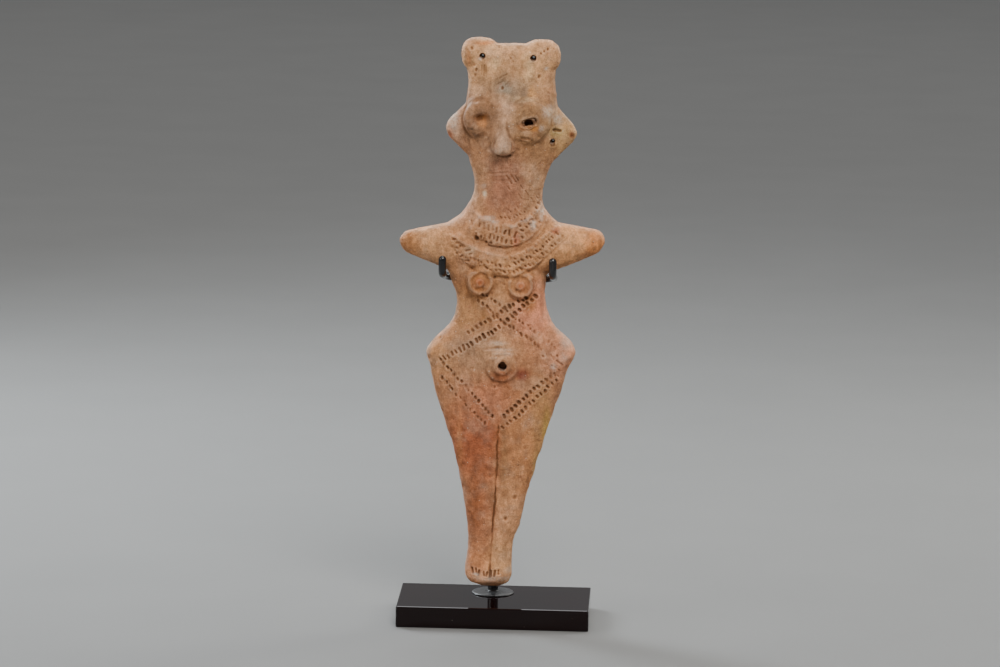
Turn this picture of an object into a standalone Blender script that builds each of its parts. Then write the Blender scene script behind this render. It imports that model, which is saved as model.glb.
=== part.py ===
"""A terracotta goddess figurine held by a small display stand.

The figurine is a flat, hand-pressed plaque with stub arms, a pinched bird-like face and a
two-lobed headdress. A post rises behind it from a flat block, and two prongs on the post
hook forward under its armpits. The figurine only rests there.

Frame: metres, +Z up, the figurine faces -Y, the origin is the middle of the block's underside.
"""

import math
from bisect import bisect

import bmesh
import bpy
import numpy
from mathutils import Vector

MM = 0.001

# Stand sizes
BLOCK_WIDTH = 57.15 * MM
BLOCK_DEPTH = 31.75 * MM
BLOCK_HEIGHT = 6.35 * MM
BLOCK_EDGE = 0.35 * MM
POST_DIAMETER = 3.2 * MM
POST_RIGHT_OF_MIDDLE = -0.7 * MM
POST_BEHIND_MIDDLE = 5.6 * MM
POST_ABOVE_CRADLE = 3.0 * MM
SOCKET_FLOOR = 1.95 * MM
COLLAR_DIAMETER = 12.7 * MM
COLLAR_HEIGHT = 0.9 * MM
COLLAR_EDGE = 0.4 * MM
PRONG_DIAMETER = 2.3 * MM
PRONG_BEND_RADIUS = 2.6 * MM
GAP = 0.3 * MM
POST_SIDES = 24
PRONG_SIDES = 10
SHARP_ANGLE = math.radians(35)

# Figurine sizes. Its free form is modelled in figure units, each a 164th of its height.
FIGURE_HEIGHT = 164.0 * MM
FEET_ABOVE_BLOCK = 4.4 * MM
UNIT = FIGURE_HEIGHT / 164.0
FRONT_ROUNDNESS = 2.5
BACK_ROUNDNESS = 3.4
BACK_DEPTH = 6.0

# Body sections from the soles up: height, left edge, right edge, depth in front of the
# mid-plane and depth behind it.
BODY = [
    (0.0, -4.6, 1.4, 2.8, 2.4),  # soles
    (1.4, -7.6, 4.2, 5.8, 4.2),
    (3.6, -8.6, 5.0, 7.0, 4.8),  # toes
    (6.6, -8.5, 5.0, 6.0, 5.0),
    (11.6, -8.0, 5.4, 4.9, 5.4),  # ankles
    (19.0, -8.5, 7.1, 4.9, 5.8),
    (28.0, -9.8, 9.4, 5.1, BACK_DEPTH),
    (39.0, -12.2, 12.6, 5.5, BACK_DEPTH),  # knees
    (50.0, -15.7, 15.8, 6.0, BACK_DEPTH),
    (58.0, -18.4, 18.6, 6.3, BACK_DEPTH),
    (66.0, -20.3, 20.8, 6.6, BACK_DEPTH),  # navel
    (71.3, -21.3, 23.0, 6.4, BACK_DEPTH),  # hips
    (74.4, -18.8, 21.2, 6.1, BACK_DEPTH),
    (78.5, -14.6, 16.8, 5.6, BACK_DEPTH),
    (82.0, -12.9, 14.9, 5.3, BACK_DEPTH),
    (87.0, -12.4, 13.8, 5.2, BACK_DEPTH),  # waist
    (92.0, -14.3, 14.0, 5.6, BACK_DEPTH),
    (97.0, -15.6, 14.5, 6.0, BACK_DEPTH),  # armpits
    (103.0, -16.4, 16.6, 6.0, BACK_DEPTH),
    (108.6, -15.6, 18.0, 5.6, BACK_DEPTH),  # shoulders
    (111.3, -11.7, 15.2, 5.3, BACK_DEPTH),
    (114.2, -9.7, 12.9, 5.3, 5.8),
    (118.0, -7.9, 12.5, 5.6, 5.6),  # neck
    (123.0, -7.9, 13.5, 5.9, 5.6),
    (128.0, -9.3, 15.2, 6.2, 5.8),
    (134.0, -10.4, 16.4, 7.0, BACK_DEPTH),  # jaw
    (141.0, -10.6, 16.6, 7.0, BACK_DEPTH),  # face
    (146.0, -10.4, 16.0, 6.2, BACK_DEPTH),
    (151.0, -9.9, 15.4, 5.0, 5.8),  # forehead
    (156.0, -10.7, 15.6, 4.4, 5.0),
    (160.0, -11.4, 16.2, 4.0, 4.4),  # headdress
    (162.0, -8.8, 13.6, 2.6, 2.8),
]
BODY_RINGS = 120
RING_POINTS = 44

# Stubs that taper sideways out of the body: root and tip as (right, up), half height and half
# depth at the root and at the tip, and the length of the round tip
ARM_DEPTH = 5.6
LEFT_ARM = ((-8.0, 101.2), (-29.9, 103.2), (9.1, ARM_DEPTH), (2.7, 3.0), 3.0)
RIGHT_ARM = ((9.0, 101.4), (31.3, 104.5), (9.7, ARM_DEPTH), (2.8, 3.0), 2.8)
LEFT_EAR = ((-8.0, 137.2), (-16.3, 137.0), (9.8, 3.2), (2.0, 1.8), 1.3)
RIGHT_EAR = ((12.0, 136.5), (22.2, 136.1), (12.0, 3.2), (1.6, 1.8), 1.3)

# Headdress lobes: centre (right, up), then half width, half height, half depth
LEFT_LOBE = ((-6.5, 158.9), 5.6, 5.0, 3.7)
RIGHT_LOBE = ((11.4, 158.7), 5.6, 4.9, 3.7)
LOBE_ROUNDNESS = 2.6

# Eyes, breasts and belly are pressed-on pellets: centre (right, up), radius, height above the
# skin, and depth of the ring groove as a share of that height
LEFT_EYE_RADIUS = 5.3
RIGHT_EYE_RADIUS = 6.2
BREAST_RADIUS = 3.6
BREAST_HEIGHT = 1.4
LEFT_EYE = ((-6.0, 140.4), LEFT_EYE_RADIUS, 1.2, 0.25)
RIGHT_EYE = ((8.4, 139.9), RIGHT_EYE_RADIUS, 1.3, 0.25)
LEFT_BREAST = ((-5.3, 92.0), BREAST_RADIUS, BREAST_HEIGHT, 0.3)
RIGHT_BREAST = ((6.6, 91.4), BREAST_RADIUS, BREAST_HEIGHT, 0.3)
BELLY = ((1.6, 67.4), 4.6, 1.2, 0.0)
PELLET_RIM = 0.3
PELLET_FALL = 0.3
PELLET_GROOVE = 0.62
PELLET_GROOVE_WIDTH = 0.13

# Nose sections from the brow down: height, half width, reach in front of the mid-plane
NOSE_MIDDLE = 0.9
NOSE = [
    (129.4, 1.6, 7.0),
    (130.4, 2.9, 9.8),
    (132.0, 3.2, 10.6),  # tip
    (135.0, 2.7, 10.1),
    (139.5, 2.1, 9.0),
    (144.5, 1.7, 7.3),
]
NOSE_ROUNDNESS = 2.8

# Raised bands: points (right, up) along the middle, then width, height above the skin and how
# much of the width is lost towards the ends
CHOKER_WIDTH = 7.2
NECKLACE_WIDTH = 6.4
CHOKER = (
    [(-7.3, 110.0), (-4.6, 107.4), (1.9, 106.0), (9.2, 108.3), (12.9, 112.9)],
    CHOKER_WIDTH,
    0.9,
    0.35,
)
NECKLACE = (
    [(-13.8, 104.5), (-10.0, 101.0), (-4.4, 98.8), (2.8, 97.0), (9.0, 99.3), (13.9, 103.2), (18.9, 107.3)],
    NECKLACE_WIDTH,
    0.8,
    0.0,
)
BAND_STEPS = 40
BAND_SECTION = [(-1, -2.0), (-1, 0.4), (-0.8, 1), (0, 1), (0.8, 1), (1, 0.4), (1, -2.0)]

# Cuts: centre (right, up) and radius of the pierced holes, then the pits, each with the pellet
# that it is in and its depth
PIERCED_HOLES = [((-5.8, 158.6), 0.9), ((9.1, 158.3), 0.9), ((15.2, 133.9), 0.8)]
PITS = [
    (LEFT_EYE, (-5.7, 140.5), 1.2, 1.0),
    (RIGHT_EYE, (8.2, 139.5), 1.5, 2.6),
    (BELLY, (1.6, 67.4), 1.3, 3.6),
]
CUTTER_SIDES = 12

# The groove between the legs, from the top down, and the cuts that part the toes
LEG_GROOVE = [(0.6, 49.0), (0.4, 38.0), (0.0, 27.0), (-0.8, 15.0), (-1.2, 3.6)]
GROOVE_WIDTH = 0.9
GROOVE_DEPTH = 0.8
TOE_CUTS = 8
TOES_FROM = -6.5
TOES_TO = 1.6
TOE_CUT_FROM = 3.0
TOE_CUT_TO = 5.9

# Cradle, in figure units from the soles: where the prongs leave the post, bend and end
CRADLE_ROOT = 89.4
CRADLE_SIDE = 91.8
CRADLE_FRONT = 94.6
CRADLE_TIP = 100.0

# Finish of the clay: size of the grid that fuses the lumps, rounds of smoothing, and the share
# of the grid's faces that is kept
CLAY_GRID = 0.45
CLAY_SMOOTHING = 5
CLAY_KEPT = 0.045

# Where the pieces stand
POST_PLACE = Vector((POST_RIGHT_OF_MIDDLE, POST_BEHIND_MIDDLE, BLOCK_HEIGHT))
SOCKET_DEPTH = BLOCK_HEIGHT - SOCKET_FLOOR
FIGURE_PLACE = Vector(
    (
        0.0,
        POST_BEHIND_MIDDLE - POST_DIAMETER / 2 - GAP - BACK_DEPTH * UNIT,
        BLOCK_HEIGHT + FEET_ABOVE_BLOCK,
    )
)


def clear_scene():
    for item in list(bpy.data.objects):
        bpy.data.objects.remove(item, do_unlink=True)


def material(name, colour, roughness, metallic):
    made = bpy.data.materials.new(name)
    made.use_nodes = True
    shader = made.node_tree.nodes["Principled BSDF"]
    shader.inputs["Base Color"].default_value = (*colour, 1.0)
    shader.inputs["Roughness"].default_value = roughness
    shader.inputs["Metallic"].default_value = metallic
    return made


def make_object(name, bm, place, surface=None):
    """Turn a bmesh into a named object with its faces pointing out."""
    bmesh.ops.recalc_face_normals(bm, faces=bm.faces)
    mesh = bpy.data.meshes.new(name)
    bm.to_mesh(mesh)
    bm.free()
    mesh.shade_smooth()
    made = bpy.data.objects.new(name, mesh)
    made.location = place
    bpy.context.scene.collection.objects.link(made)
    if surface:
        mesh.materials.append(surface)
    else:
        made.display_type = "WIRE"
        made.hide_render = True
    return made


def combine(target, helper, operation):
    """Add or cut away a helper with an exact Boolean."""
    step = target.modifiers.new(helper.name, "BOOLEAN")
    step.operation = operation
    step.object = helper
    step.solver = "EXACT"


def loft(bm, rings):
    """Skin closed rings of equal length and cap both ends."""
    verts = [[bm.verts.new(point) for point in ring] for ring in rings]
    count = len(rings[0])
    for lower, upper in zip(verts, verts[1:]):
        for i in range(count):
            j = (i + 1) % count
            bm.faces.new((lower[i], lower[j], upper[j], upper[i]))
    bm.faces.new(verts[0])
    bm.faces.new(list(reversed(verts[-1])))


def read_section(table, column, height):
    """Read a column of a section table at any height, on a smooth curve through its rows."""
    heights = [row[0] for row in table]
    values = [row[column] for row in table]
    slopes = numpy.gradient(values, heights)
    i = min(max(bisect(heights, height) - 1, 0), len(heights) - 2)
    span = heights[i + 1] - heights[i]
    t = min(max((height - heights[i]) / span, 0.0), 1.0)
    ends = values[i] * (1 + 2 * t) * (1 - t) ** 2 + values[i + 1] * t * t * (3 - 2 * t)
    return float(ends + span * (slopes[i] * t * (1 - t) ** 2 - slopes[i + 1] * t * t * (1 - t)))


def read_path(points, share):
    """Read a path at a share of its length, on a smooth curve through its points."""
    steps = [(b[0] - a[0], b[1] - a[1]) for a, b in zip(points, points[1:])]
    along = [0.0]
    for step in steps:
        along.append(along[-1] + math.hypot(*step))
    table = [(s, *point) for s, point in zip(along, points)]
    reach = share * along[-1]
    return read_section(table, 1, reach), read_section(table, 2, reach)


def body_skin(right, up):
    """Depth of the body's front surface in front of the mid-plane."""
    left_edge = read_section(BODY, 1, up)
    right_edge = read_section(BODY, 2, up)
    half = (right_edge - left_edge) / 2
    share = min(abs(right - (left_edge + right_edge) / 2) / half, 0.97)
    return read_section(BODY, 3, up) * (1 - share**FRONT_ROUNDNESS) ** (1 / FRONT_ROUNDNESS)


def figure_point(right, forward, up):
    return Vector((right, -forward, up)) * UNIT


def turn_angles(count):
    return [2 * math.pi * i / count for i in range(count)]


def squared(value, roundness):
    """Fill out a cosine or sine towards the corners: 2 leaves it round, more makes it square."""
    return math.copysign(abs(value) ** (2 / roundness), value)


def disc_ring(centre, radius, forward, sides):
    """A circle that faces the front."""
    right, up = centre
    return [
        figure_point(right + radius * math.cos(a), forward, up + radius * math.sin(a))
        for a in turn_angles(sides)
    ]


def body_ring(up):
    """One level section of the body: rounded in front, flatter behind."""
    left_edge, right_edge, front, back = (read_section(BODY, i, up) for i in (1, 2, 3, 4))
    middle = (left_edge + right_edge) / 2
    half = (right_edge - left_edge) / 2
    ring = []
    for angle in turn_angles(RING_POINTS):
        across, forward = math.cos(angle), math.sin(angle)
        depth, roundness = (front, FRONT_ROUNDNESS) if forward > 0 else (back, BACK_ROUNDNESS)
        right = middle + half * squared(across, roundness)
        ring.append(figure_point(right, depth * squared(forward, roundness), up))
    return ring


def add_body(bm):
    top = BODY[-1][0]
    loft(bm, [body_ring(top * i / BODY_RINGS) for i in range(BODY_RINGS + 1)])


def add_stub(bm, root, tip, root_half, tip_half, tip_length):
    """An arm or an ear flap: an oval section that tapers to a round tip."""
    steps = 24
    length = abs(tip[0] - root[0])
    rings = []
    for i in range(steps + 1):
        share = 0.9995 * math.sin(math.pi / 2 * i / steps)
        into_tip = max(0.0, 1 - (1 - share) * length / tip_length)
        rounding = math.sqrt(1 - into_tip**2)
        right, up = (a + (b - a) * share for a, b in zip(root, tip))
        half_up, half_deep = ((a + (b - a) * share) * rounding for a, b in zip(root_half, tip_half))
        rings.append(
            [
                figure_point(right, half_deep * math.cos(a), up + half_up * math.sin(a))
                for a in turn_angles(RING_POINTS)
            ]
        )
    loft(bm, rings)


def add_lobe(bm, centre, half_width, half_height, half_depth):
    """A flattened, slightly squared lobe of clay in the body's mid-plane."""
    made = bmesh.ops.create_uvsphere(bm, u_segments=36, v_segments=20, radius=1.0)
    for vert in made["verts"]:
        right = centre[0] + half_width * squared(vert.co.x, LOBE_ROUNDNESS)
        up = centre[1] + half_height * squared(vert.co.z, LOBE_ROUNDNESS)
        vert.co = figure_point(right, half_depth * vert.co.y, up)


def add_pellet(bm, centre, radius, height, groove_depth):
    """A domed disc pressed onto the skin, with a ring groove round its button."""
    skin = body_skin(*centre)
    rings = [disc_ring(centre, radius, skin - 2 * height, RING_POINTS)]
    levels = 14
    for i in range(levels + 1):
        share = 1 - i / levels
        rim = PELLET_RIM if i == 0 else 1 - PELLET_FALL * share**2
        groove = groove_depth * math.exp(-(((share - PELLET_GROOVE) / PELLET_GROOVE_WIDTH) ** 2))
        ring_radius = radius * max(share, 0.01)
        rings.append(disc_ring(centre, ring_radius, skin + height * (rim - groove), RING_POINTS))
    loft(bm, rings)


def add_nose(bm):
    """The pinched ridge that runs down from the brow to a blunt tip."""
    steps = 30
    bottom, top = NOSE[0][0], NOSE[-1][0]
    rings = []
    for i in range(steps + 1):
        up = bottom + (top - bottom) * i / steps
        half_width = read_section(NOSE, 1, up)
        reach = read_section(NOSE, 2, up)
        ring = []
        for angle in turn_angles(RING_POINTS)[: RING_POINTS // 2 + 1]:
            across = squared(math.cos(angle), NOSE_ROUNDNESS)
            forward = squared(math.sin(angle), NOSE_ROUNDNESS)
            ring.append(figure_point(NOSE_MIDDLE + half_width * across, reach * forward, up))
        rings.append(ring)
    loft(bm, rings)


def add_band(bm, points, width, height, narrowing):
    """A strip of clay laid over the skin along a path."""
    rings = []
    for i in range(BAND_STEPS + 1):
        share = i / BAND_STEPS
        here = Vector(read_path(points, share))
        ahead = Vector(read_path(points, min(share + 0.01, 1)))
        behind = Vector(read_path(points, max(share - 0.01, 0)))
        across = (ahead - behind).orthogonal().normalized()
        half = width / 2 * (1 - narrowing * (2 * share - 1) ** 2)
        ring = []
        for side, lift in BAND_SECTION:
            spot = here + across * half * side
            ring.append(figure_point(spot.x, body_skin(*spot) + height * lift, spot.y))
        rings.append(ring)
    loft(bm, rings)


def add_peg(bm, centre, radius, front, back):
    """A cutter rod along the depth of the figurine."""
    loft(bm, [disc_ring(centre, radius, deep, CUTTER_SIDES) for deep in (front, back)])


def add_wedge(bm, points, width, depth):
    """A V-shaped cutter along an upright path, with its width measured at the skin."""
    rings = []
    for right, up in points:
        skin = body_skin(right, up)
        corners = [(-width, depth), (width, depth), (0, -depth)]
        rings.append([figure_point(right + across, skin + lift, up) for across, lift in corners])
    loft(bm, rings)


def figure_cuts():
    """All that is pierced, pitted or grooved in the clay, as one cutter of separate bodies."""
    bm = bmesh.new()
    for centre, radius in PIERCED_HOLES:
        add_peg(bm, centre, radius, 2 * BACK_DEPTH, -2 * BACK_DEPTH)
    for pellet, centre, radius, depth in PITS:
        surface = body_skin(*centre) + pellet[2]
        add_peg(bm, centre, radius, surface + 2 * radius, surface - depth)
    steps = 16
    add_wedge(bm, [read_path(LEG_GROOVE, i / steps) for i in range(steps + 1)], GROOVE_WIDTH, GROOVE_DEPTH)
    for i in range(TOE_CUTS):
        right = TOES_FROM + (TOES_TO - TOES_FROM) * i / (TOE_CUTS - 1)
        if abs(right - LEG_GROOVE[-1][0]) > GROOVE_WIDTH:
            add_wedge(bm, [(right, TOE_CUT_TO), (right, TOE_CUT_FROM)], GROOVE_WIDTH / 2, GROOVE_DEPTH)
    return make_object("figure_cuts", bm, FIGURE_PLACE)


def make_figurine(clay):
    """Press the lumps of clay together, smooth them, then cut the holes and grooves."""
    bm = bmesh.new()
    add_body(bm)
    for stub in (LEFT_ARM, RIGHT_ARM, LEFT_EAR, RIGHT_EAR):
        add_stub(bm, *stub)
    for lobe in (LEFT_LOBE, RIGHT_LOBE):
        add_lobe(bm, *lobe)
    for pellet in (LEFT_EYE, RIGHT_EYE, LEFT_BREAST, RIGHT_BREAST, BELLY):
        add_pellet(bm, *pellet)
    add_nose(bm)
    for band in (CHOKER, NECKLACE):
        add_band(bm, *band)
    figurine = make_object("goddess_figurine", bm, FIGURE_PLACE, clay)
    press = figurine.modifiers.new("press together", "REMESH")
    press.mode = "VOXEL"
    press.voxel_size = CLAY_GRID * UNIT
    press.use_smooth_shade = True
    smooth = figurine.modifiers.new("smooth", "SMOOTH")
    smooth.factor = 0.5
    smooth.iterations = CLAY_SMOOTHING
    thin = figurine.modifiers.new("thin", "DECIMATE")
    thin.ratio = CLAY_KEPT
    combine(figurine, figure_cuts(), "DIFFERENCE")
    return figurine


def cradle_height(level):
    """Height above the block's top of a level in figure units."""
    return FEET_ABOVE_BLOCK + level * UNIT


def prong_corners(side):
    """Corners of one prong: behind the body, in front under the armpit, and the tip."""
    column = 1 if side < 0 else 2
    radius = PRONG_DIAMETER / 2
    levels = (CRADLE_SIDE, CRADLE_FRONT, (CRADLE_FRONT + CRADLE_TIP) / 2)
    edge = max(abs(read_section(BODY, column, level)) for level in levels)
    out = side * (edge * UNIT + GAP + radius) - POST_PLACE.x
    front = FIGURE_PLACE.y - POST_PLACE.y - ARM_DEPTH * UNIT - GAP - radius
    return [
        Vector((out, -0.3 * radius, cradle_height(CRADLE_SIDE))),
        Vector((out, front, cradle_height(CRADLE_FRONT))),
        Vector((out, front, cradle_height(CRADLE_TIP))),
    ]


def round_corners(corners, radius):
    """A route through corners, each rounded with a short curve."""
    steps = 7
    route = [corners[0]]
    for before, corner, after in zip(corners, corners[1:], corners[2:]):
        enter = corner + (before - corner).normalized() * radius
        leave = corner + (after - corner).normalized() * radius
        for i in range(steps + 1):
            t = i / steps
            route.append(enter * (1 - t) ** 2 + corner * 2 * t * (1 - t) + leave * t**2)
    return route + [corners[-1]]


def make_cradle():
    """Both prongs as one bent rod with rounded ends."""
    root = Vector((0.0, 0.0, cradle_height(CRADLE_ROOT)))
    corners = prong_corners(-1)[::-1] + [root] + prong_corners(1)
    radius = PRONG_DIAMETER / 2
    route = round_corners(corners, PRONG_BEND_RADIUS)
    first = (route[1] - route[0]).normalized() * radius
    final = (route[-2] - route[-1]).normalized() * radius
    tip_steps = [(0.0, 0.45), (0.2, 0.8), (0.9, 1.0)]
    stops = [(route[0] + first * inward, width) for inward, width in tip_steps]
    stops += [(point, 1.0) for point in route[1:-1]]
    stops += [(route[-1] + final * inward, width) for inward, width in reversed(tip_steps)]
    bm = bmesh.new()
    rings = []
    normal = Vector((1.0, 0.0, 0.0))
    for i, (centre, width) in enumerate(stops):
        ahead, behind = stops[min(i + 1, len(stops) - 1)][0], stops[max(i - 1, 0)][0]
        tangent = (ahead - behind).normalized()
        normal = (normal - tangent * normal.dot(tangent)).normalized()
        other = tangent.cross(normal)
        rings.append(
            [
                centre + radius * width * (normal * math.cos(a) + other * math.sin(a))
                for a in turn_angles(PRONG_SIDES)
            ]
        )
    loft(bm, rings)
    return make_object("cradle", bm, POST_PLACE)


def turned(bm, profile):
    """A shape turned about Z from (radius, height) points that run bottom to top."""
    loft(
        bm,
        [
            [Vector((radius * math.cos(a), radius * math.sin(a), height)) for a in turn_angles(POST_SIDES)]
            for radius, height in profile
        ],
    )


def make_post(paint):
    """The post with its tenon and low domed collar, and the cradle brazed to it."""
    radius = POST_DIAMETER / 2
    collar = COLLAR_DIAMETER / 2
    bottom = GAP - SOCKET_DEPTH
    top = cradle_height(CRADLE_ROOT) + POST_ABOVE_CRADLE
    profile = [(0.8 * radius, bottom), (radius, bottom + 0.2 * radius), (radius, GAP), (collar, GAP)]
    dome_steps = 6
    for i in range(dome_steps + 1):
        share = 1 - i / dome_steps
        rise = (COLLAR_HEIGHT - COLLAR_EDGE) * math.sqrt(1 - share**2)
        profile.append((radius + (collar - radius) * share, GAP + COLLAR_EDGE + rise))
    profile += [(radius, top - 0.6 * radius), (0.85 * radius, top - 0.2 * radius), (0.45 * radius, top)]
    bm = bmesh.new()
    turned(bm, profile)
    post = make_object("stand_post", bm, POST_PLACE, paint)
    post.data.set_sharp_from_angle(angle=SHARP_ANGLE)
    combine(post, make_cradle(), "UNION")
    return post


def make_block(gloss):
    """The flat block with a blind socket for the post."""
    bm = bmesh.new()
    bmesh.ops.create_cube(bm, size=1.0)
    for vert in bm.verts:
        vert.co.x *= BLOCK_WIDTH
        vert.co.y *= BLOCK_DEPTH
        vert.co.z = (vert.co.z + 0.5) * BLOCK_HEIGHT
    bmesh.ops.bevel(
        bm, geom=list(bm.edges), offset=BLOCK_EDGE, segments=2, profile=0.5, affect="EDGES"
    )
    block = make_object("stand_base", bm, (0, 0, 0), gloss)
    block.data.set_sharp_from_angle(angle=SHARP_ANGLE)
    bm = bmesh.new()
    hole = POST_DIAMETER / 2 + GAP
    turned(bm, [(hole, -SOCKET_DEPTH), (hole, SOCKET_DEPTH)])
    combine(block, make_object("socket_cut", bm, POST_PLACE), "DIFFERENCE")
    return block


def main():
    clear_scene()
    clay = material("terracotta", (0.50, 0.27, 0.15), 0.85, 0.0)
    paint = material("black paint", (0.010, 0.010, 0.011), 0.35, 0.3)
    gloss = material("black gloss", (0.006, 0.003, 0.003), 0.08, 0.0)
    make_figurine(clay)
    make_post(paint)
    make_block(gloss)


main()
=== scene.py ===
"""Looks of the terracotta goddess figurine on its display stand.

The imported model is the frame. The figurine's solid is refined into a fine mesh that carries the
modelled face, the bands, the punched rows and the worn surface. The post is rebuilt smooth from
the same sizes, and the block keeps its solid.
"""

import math

import bmesh
import bpy
import numpy as np
from mathutils import Matrix, Vector


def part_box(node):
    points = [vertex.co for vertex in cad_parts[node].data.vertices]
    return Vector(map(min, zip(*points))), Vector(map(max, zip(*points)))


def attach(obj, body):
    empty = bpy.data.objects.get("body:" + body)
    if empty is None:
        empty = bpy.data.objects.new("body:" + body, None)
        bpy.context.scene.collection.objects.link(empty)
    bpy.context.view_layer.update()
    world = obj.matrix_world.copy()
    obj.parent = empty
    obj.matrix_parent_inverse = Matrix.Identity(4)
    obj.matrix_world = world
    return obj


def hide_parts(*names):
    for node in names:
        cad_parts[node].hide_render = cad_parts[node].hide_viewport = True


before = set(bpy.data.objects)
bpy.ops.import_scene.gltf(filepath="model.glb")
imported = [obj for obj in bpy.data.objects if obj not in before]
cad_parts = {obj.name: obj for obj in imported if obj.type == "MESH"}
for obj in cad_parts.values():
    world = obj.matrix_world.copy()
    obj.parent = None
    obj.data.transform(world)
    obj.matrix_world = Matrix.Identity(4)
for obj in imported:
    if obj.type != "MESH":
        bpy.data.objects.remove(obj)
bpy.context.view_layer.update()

MM = 0.001

# Stand sizes, as in the part
BLOCK_TOP = 6.35
POST_MIDDLE = (-0.7, 5.6)
POST_RADIUS = 1.6
PRONG_RADIUS = 1.15
COLLAR_RADIUS = 6.35
GAP = 0.3
CRADLE_ROOT = 100.15
CRADLE_SIDE = 102.55
CRADLE_FRONT = 105.35
CRADLE_TIP = 110.75
POST_TOP = 103.15

# The figurine's sides and front at the armpits, which the prongs pass
ARMPITS = ((-1, 15.02), (1, 14.5))
ARMPIT_FRONT = 5.6

# Finer shapes of the stand: the socket, the collar's edge and dome, the bends and round ends
SOCKET_DEPTH = 4.0
SOCKET_TAPER = 0.3
COLLAR_LIFT = 0.02
COLLAR_BEVEL = 0.12
COLLAR_EDGE = 0.2
COLLAR_DOME = 0.55
PRONG_SETBACK = 0.35
PRONG_BEND = 2.6
POST_CAP = 1.0
TURNED_SIDES = 64
ROD_SIDES = 28
BEND_STEPS = 14
DOME_STEPS = 14
CAP_STEPS = 8
POST_GRID = 0.16 * MM
POST_KEPT = 0.35

# The figurine's own frame, in millimetres: right, up from the soles, forward of the mid-plane
SOLES = 10.75
MID_PLANE = -2.3

# Fineness of the figurine's mesh, and how far each smoothing round moves its points in and out
GRID = 0.27 * MM
KEPT_TRIANGLES = 190000
SMOOTHING_ROUNDS = 34
EYE_ROUNDS = 90
SMOOTH_IN = 0.5
SMOOTH_OUT = 0.52

# Cells along each side of the random lattice and of the scattered pores
LATTICE_CELLS = 32
SCATTER_CELLS = 16

# Applied parts: centre (right, up) and radius
LEFT_EYE = (-6.0, 140.4, 5.3)
RIGHT_EYE = (8.4, 139.9, 6.2)
BREASTS = [(-5.3, 92.0, 3.6), (6.6, 91.4, 3.6)]
NAVEL = (1.6, 67.4, 4.6)
THROUGH_HOLES = [(-5.8, 158.6, 0.9), (9.1, 158.3, 0.9), (15.2, 133.9, 0.8)]
PITS = [(8.2, 139.5, 1.5), (1.6, 67.4, 1.3)]
HOLE_WAIST = 0.5

# The right eye's pit: its least depth, how much deeper it gets upwards, and the slit's slant
EYE_FLOOR = 0.55
EYE_SLIT = 2.4
EYE_SLANT = 0.28

# The nose's lower end: its middle, its height, and how it arches up to both sides
NOSE_MIDDLE = 1.0
NOSE_END = 129.4
NOSE_ARCH = 0.13
NOSE_FLARE = 0.72
NOSE_NOTCH = 0.25

# Modelled rings: height, place as a share of the radius, and half width
EYE_SQUASH = 0.9
EYE_RINGS = [(0.27, 1.02, 0.6), (0.13, 0.8, 0.5), (0.06, 0.6, 0.42)]
EYE_CREASE = (-0.24, 1.06, 0.9)
NAVEL_RINGS = [(-0.3, 0.72, 0.8), (0.2, 0.98, 0.5)]

# The sunk middle of an eye: depth and half width as a share of the radius. The rim of the navel's
# pit: height, radius and half width
EYE_SINK = (0.3, 0.5)
NAVEL_RIM = (0.3, 2.1, 0.6)

# Rings of the breasts: height, place as a share of the radius, its sway, and half width
BREAST_RINGS = [
    (0.26, 0.88, 0.0, 0.5),
    (-0.2, 0.56, 0.05, 0.55),
    (0.16, 0.22, 0.0, 0.5),
    (0.34, 1.02, 0.0, 0.7),
    (-0.12, 1.32, 0.0, 0.5),
]

# Edges of the bands, the ridge at the choker's top and the valleys beside the headdress lobes, as
# (right, up) points
CHOKER_RIDGE = [
    (-7.4, 112.6), (-4.8, 110.8), (-1.0, 110.1), (4.4, 108.9), (8.1, 110.9),
    (11.3, 113.7), (12.8, 115.6),
]
CHOKER_EDGE = [
    (-8.0, 110.0), (-6.8, 105.6), (-2.3, 103.2), (1.8, 102.6), (5.6, 103.4),
    (9.4, 105.5), (12.0, 108.3), (13.6, 113.0),
]
NECKLACE_TOP = [
    (-14.0, 106.0), (-9.7, 103.7), (-5.0, 101.7), (0.1, 100.5), (3.0, 100.3),
    (9.2, 102.6), (14.0, 107.0), (16.6, 109.0),
]
LOBE_VALLEYS = [
    [(-2.9, 163.5), (-2.6, 160.5), (-3.2, 157.0)],
    [(4.4, 163.0), (5.4, 159.5), (6.4, 156.0), (6.2, 152.5)],
]
NECKLACE_EDGE = [
    (-13.5, 102.4), (-11.6, 99.3), (-7.2, 95.9), (-1.0, 94.0), (3.4, 93.5),
    (7.5, 95.3), (10.7, 96.2), (13.9, 99.9), (19.6, 105.5),
]

# Lines along those paths: height, shift below the path, and half width
BAND_LINES = [
    (CHOKER_RIDGE, 0.42, 0.0, 0.6),
    (CHOKER_EDGE, -0.34, 0.35, 0.45),
    (NECKLACE_TOP, 0.18, 0.3, 0.5),
    (NECKLACE_TOP, -0.16, -0.45, 0.45),
    (NECKLACE_EDGE, -0.28, 0.3, 0.5),
]
VALLEY_DEPTH = 0.24
VALLEY_WIDTH = 0.9

# The groove between the legs: heights and middles, its depth and that of the valley round it
GROOVE_HEIGHTS = [3.6, 15.0, 27.0, 38.0, 49.0]
GROOVE_MIDDLES = [-1.2, -0.8, 0.0, 0.4, 0.6]
GROOVE_DEPTH = 0.6
GROOVE_VALLEY = 0.4

# The worn skin: lumps by height, size and shift of the noise, and pores by depth, size and shift
WORN_LUMPS = [(0.2, 9.0, 0.3), (0.13, 4.0, 5.1), (0.07, 1.9, 9.7), (0.05, 0.95, 2.2)]
WORN_PORES = [(0.24, 2.6, 0.0), (0.14, 1.4, 31.0)]
PORE_SHARE = 0.2
WIPE_HEIGHT = 0.05
SKIN_LOSS = 0.05

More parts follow.
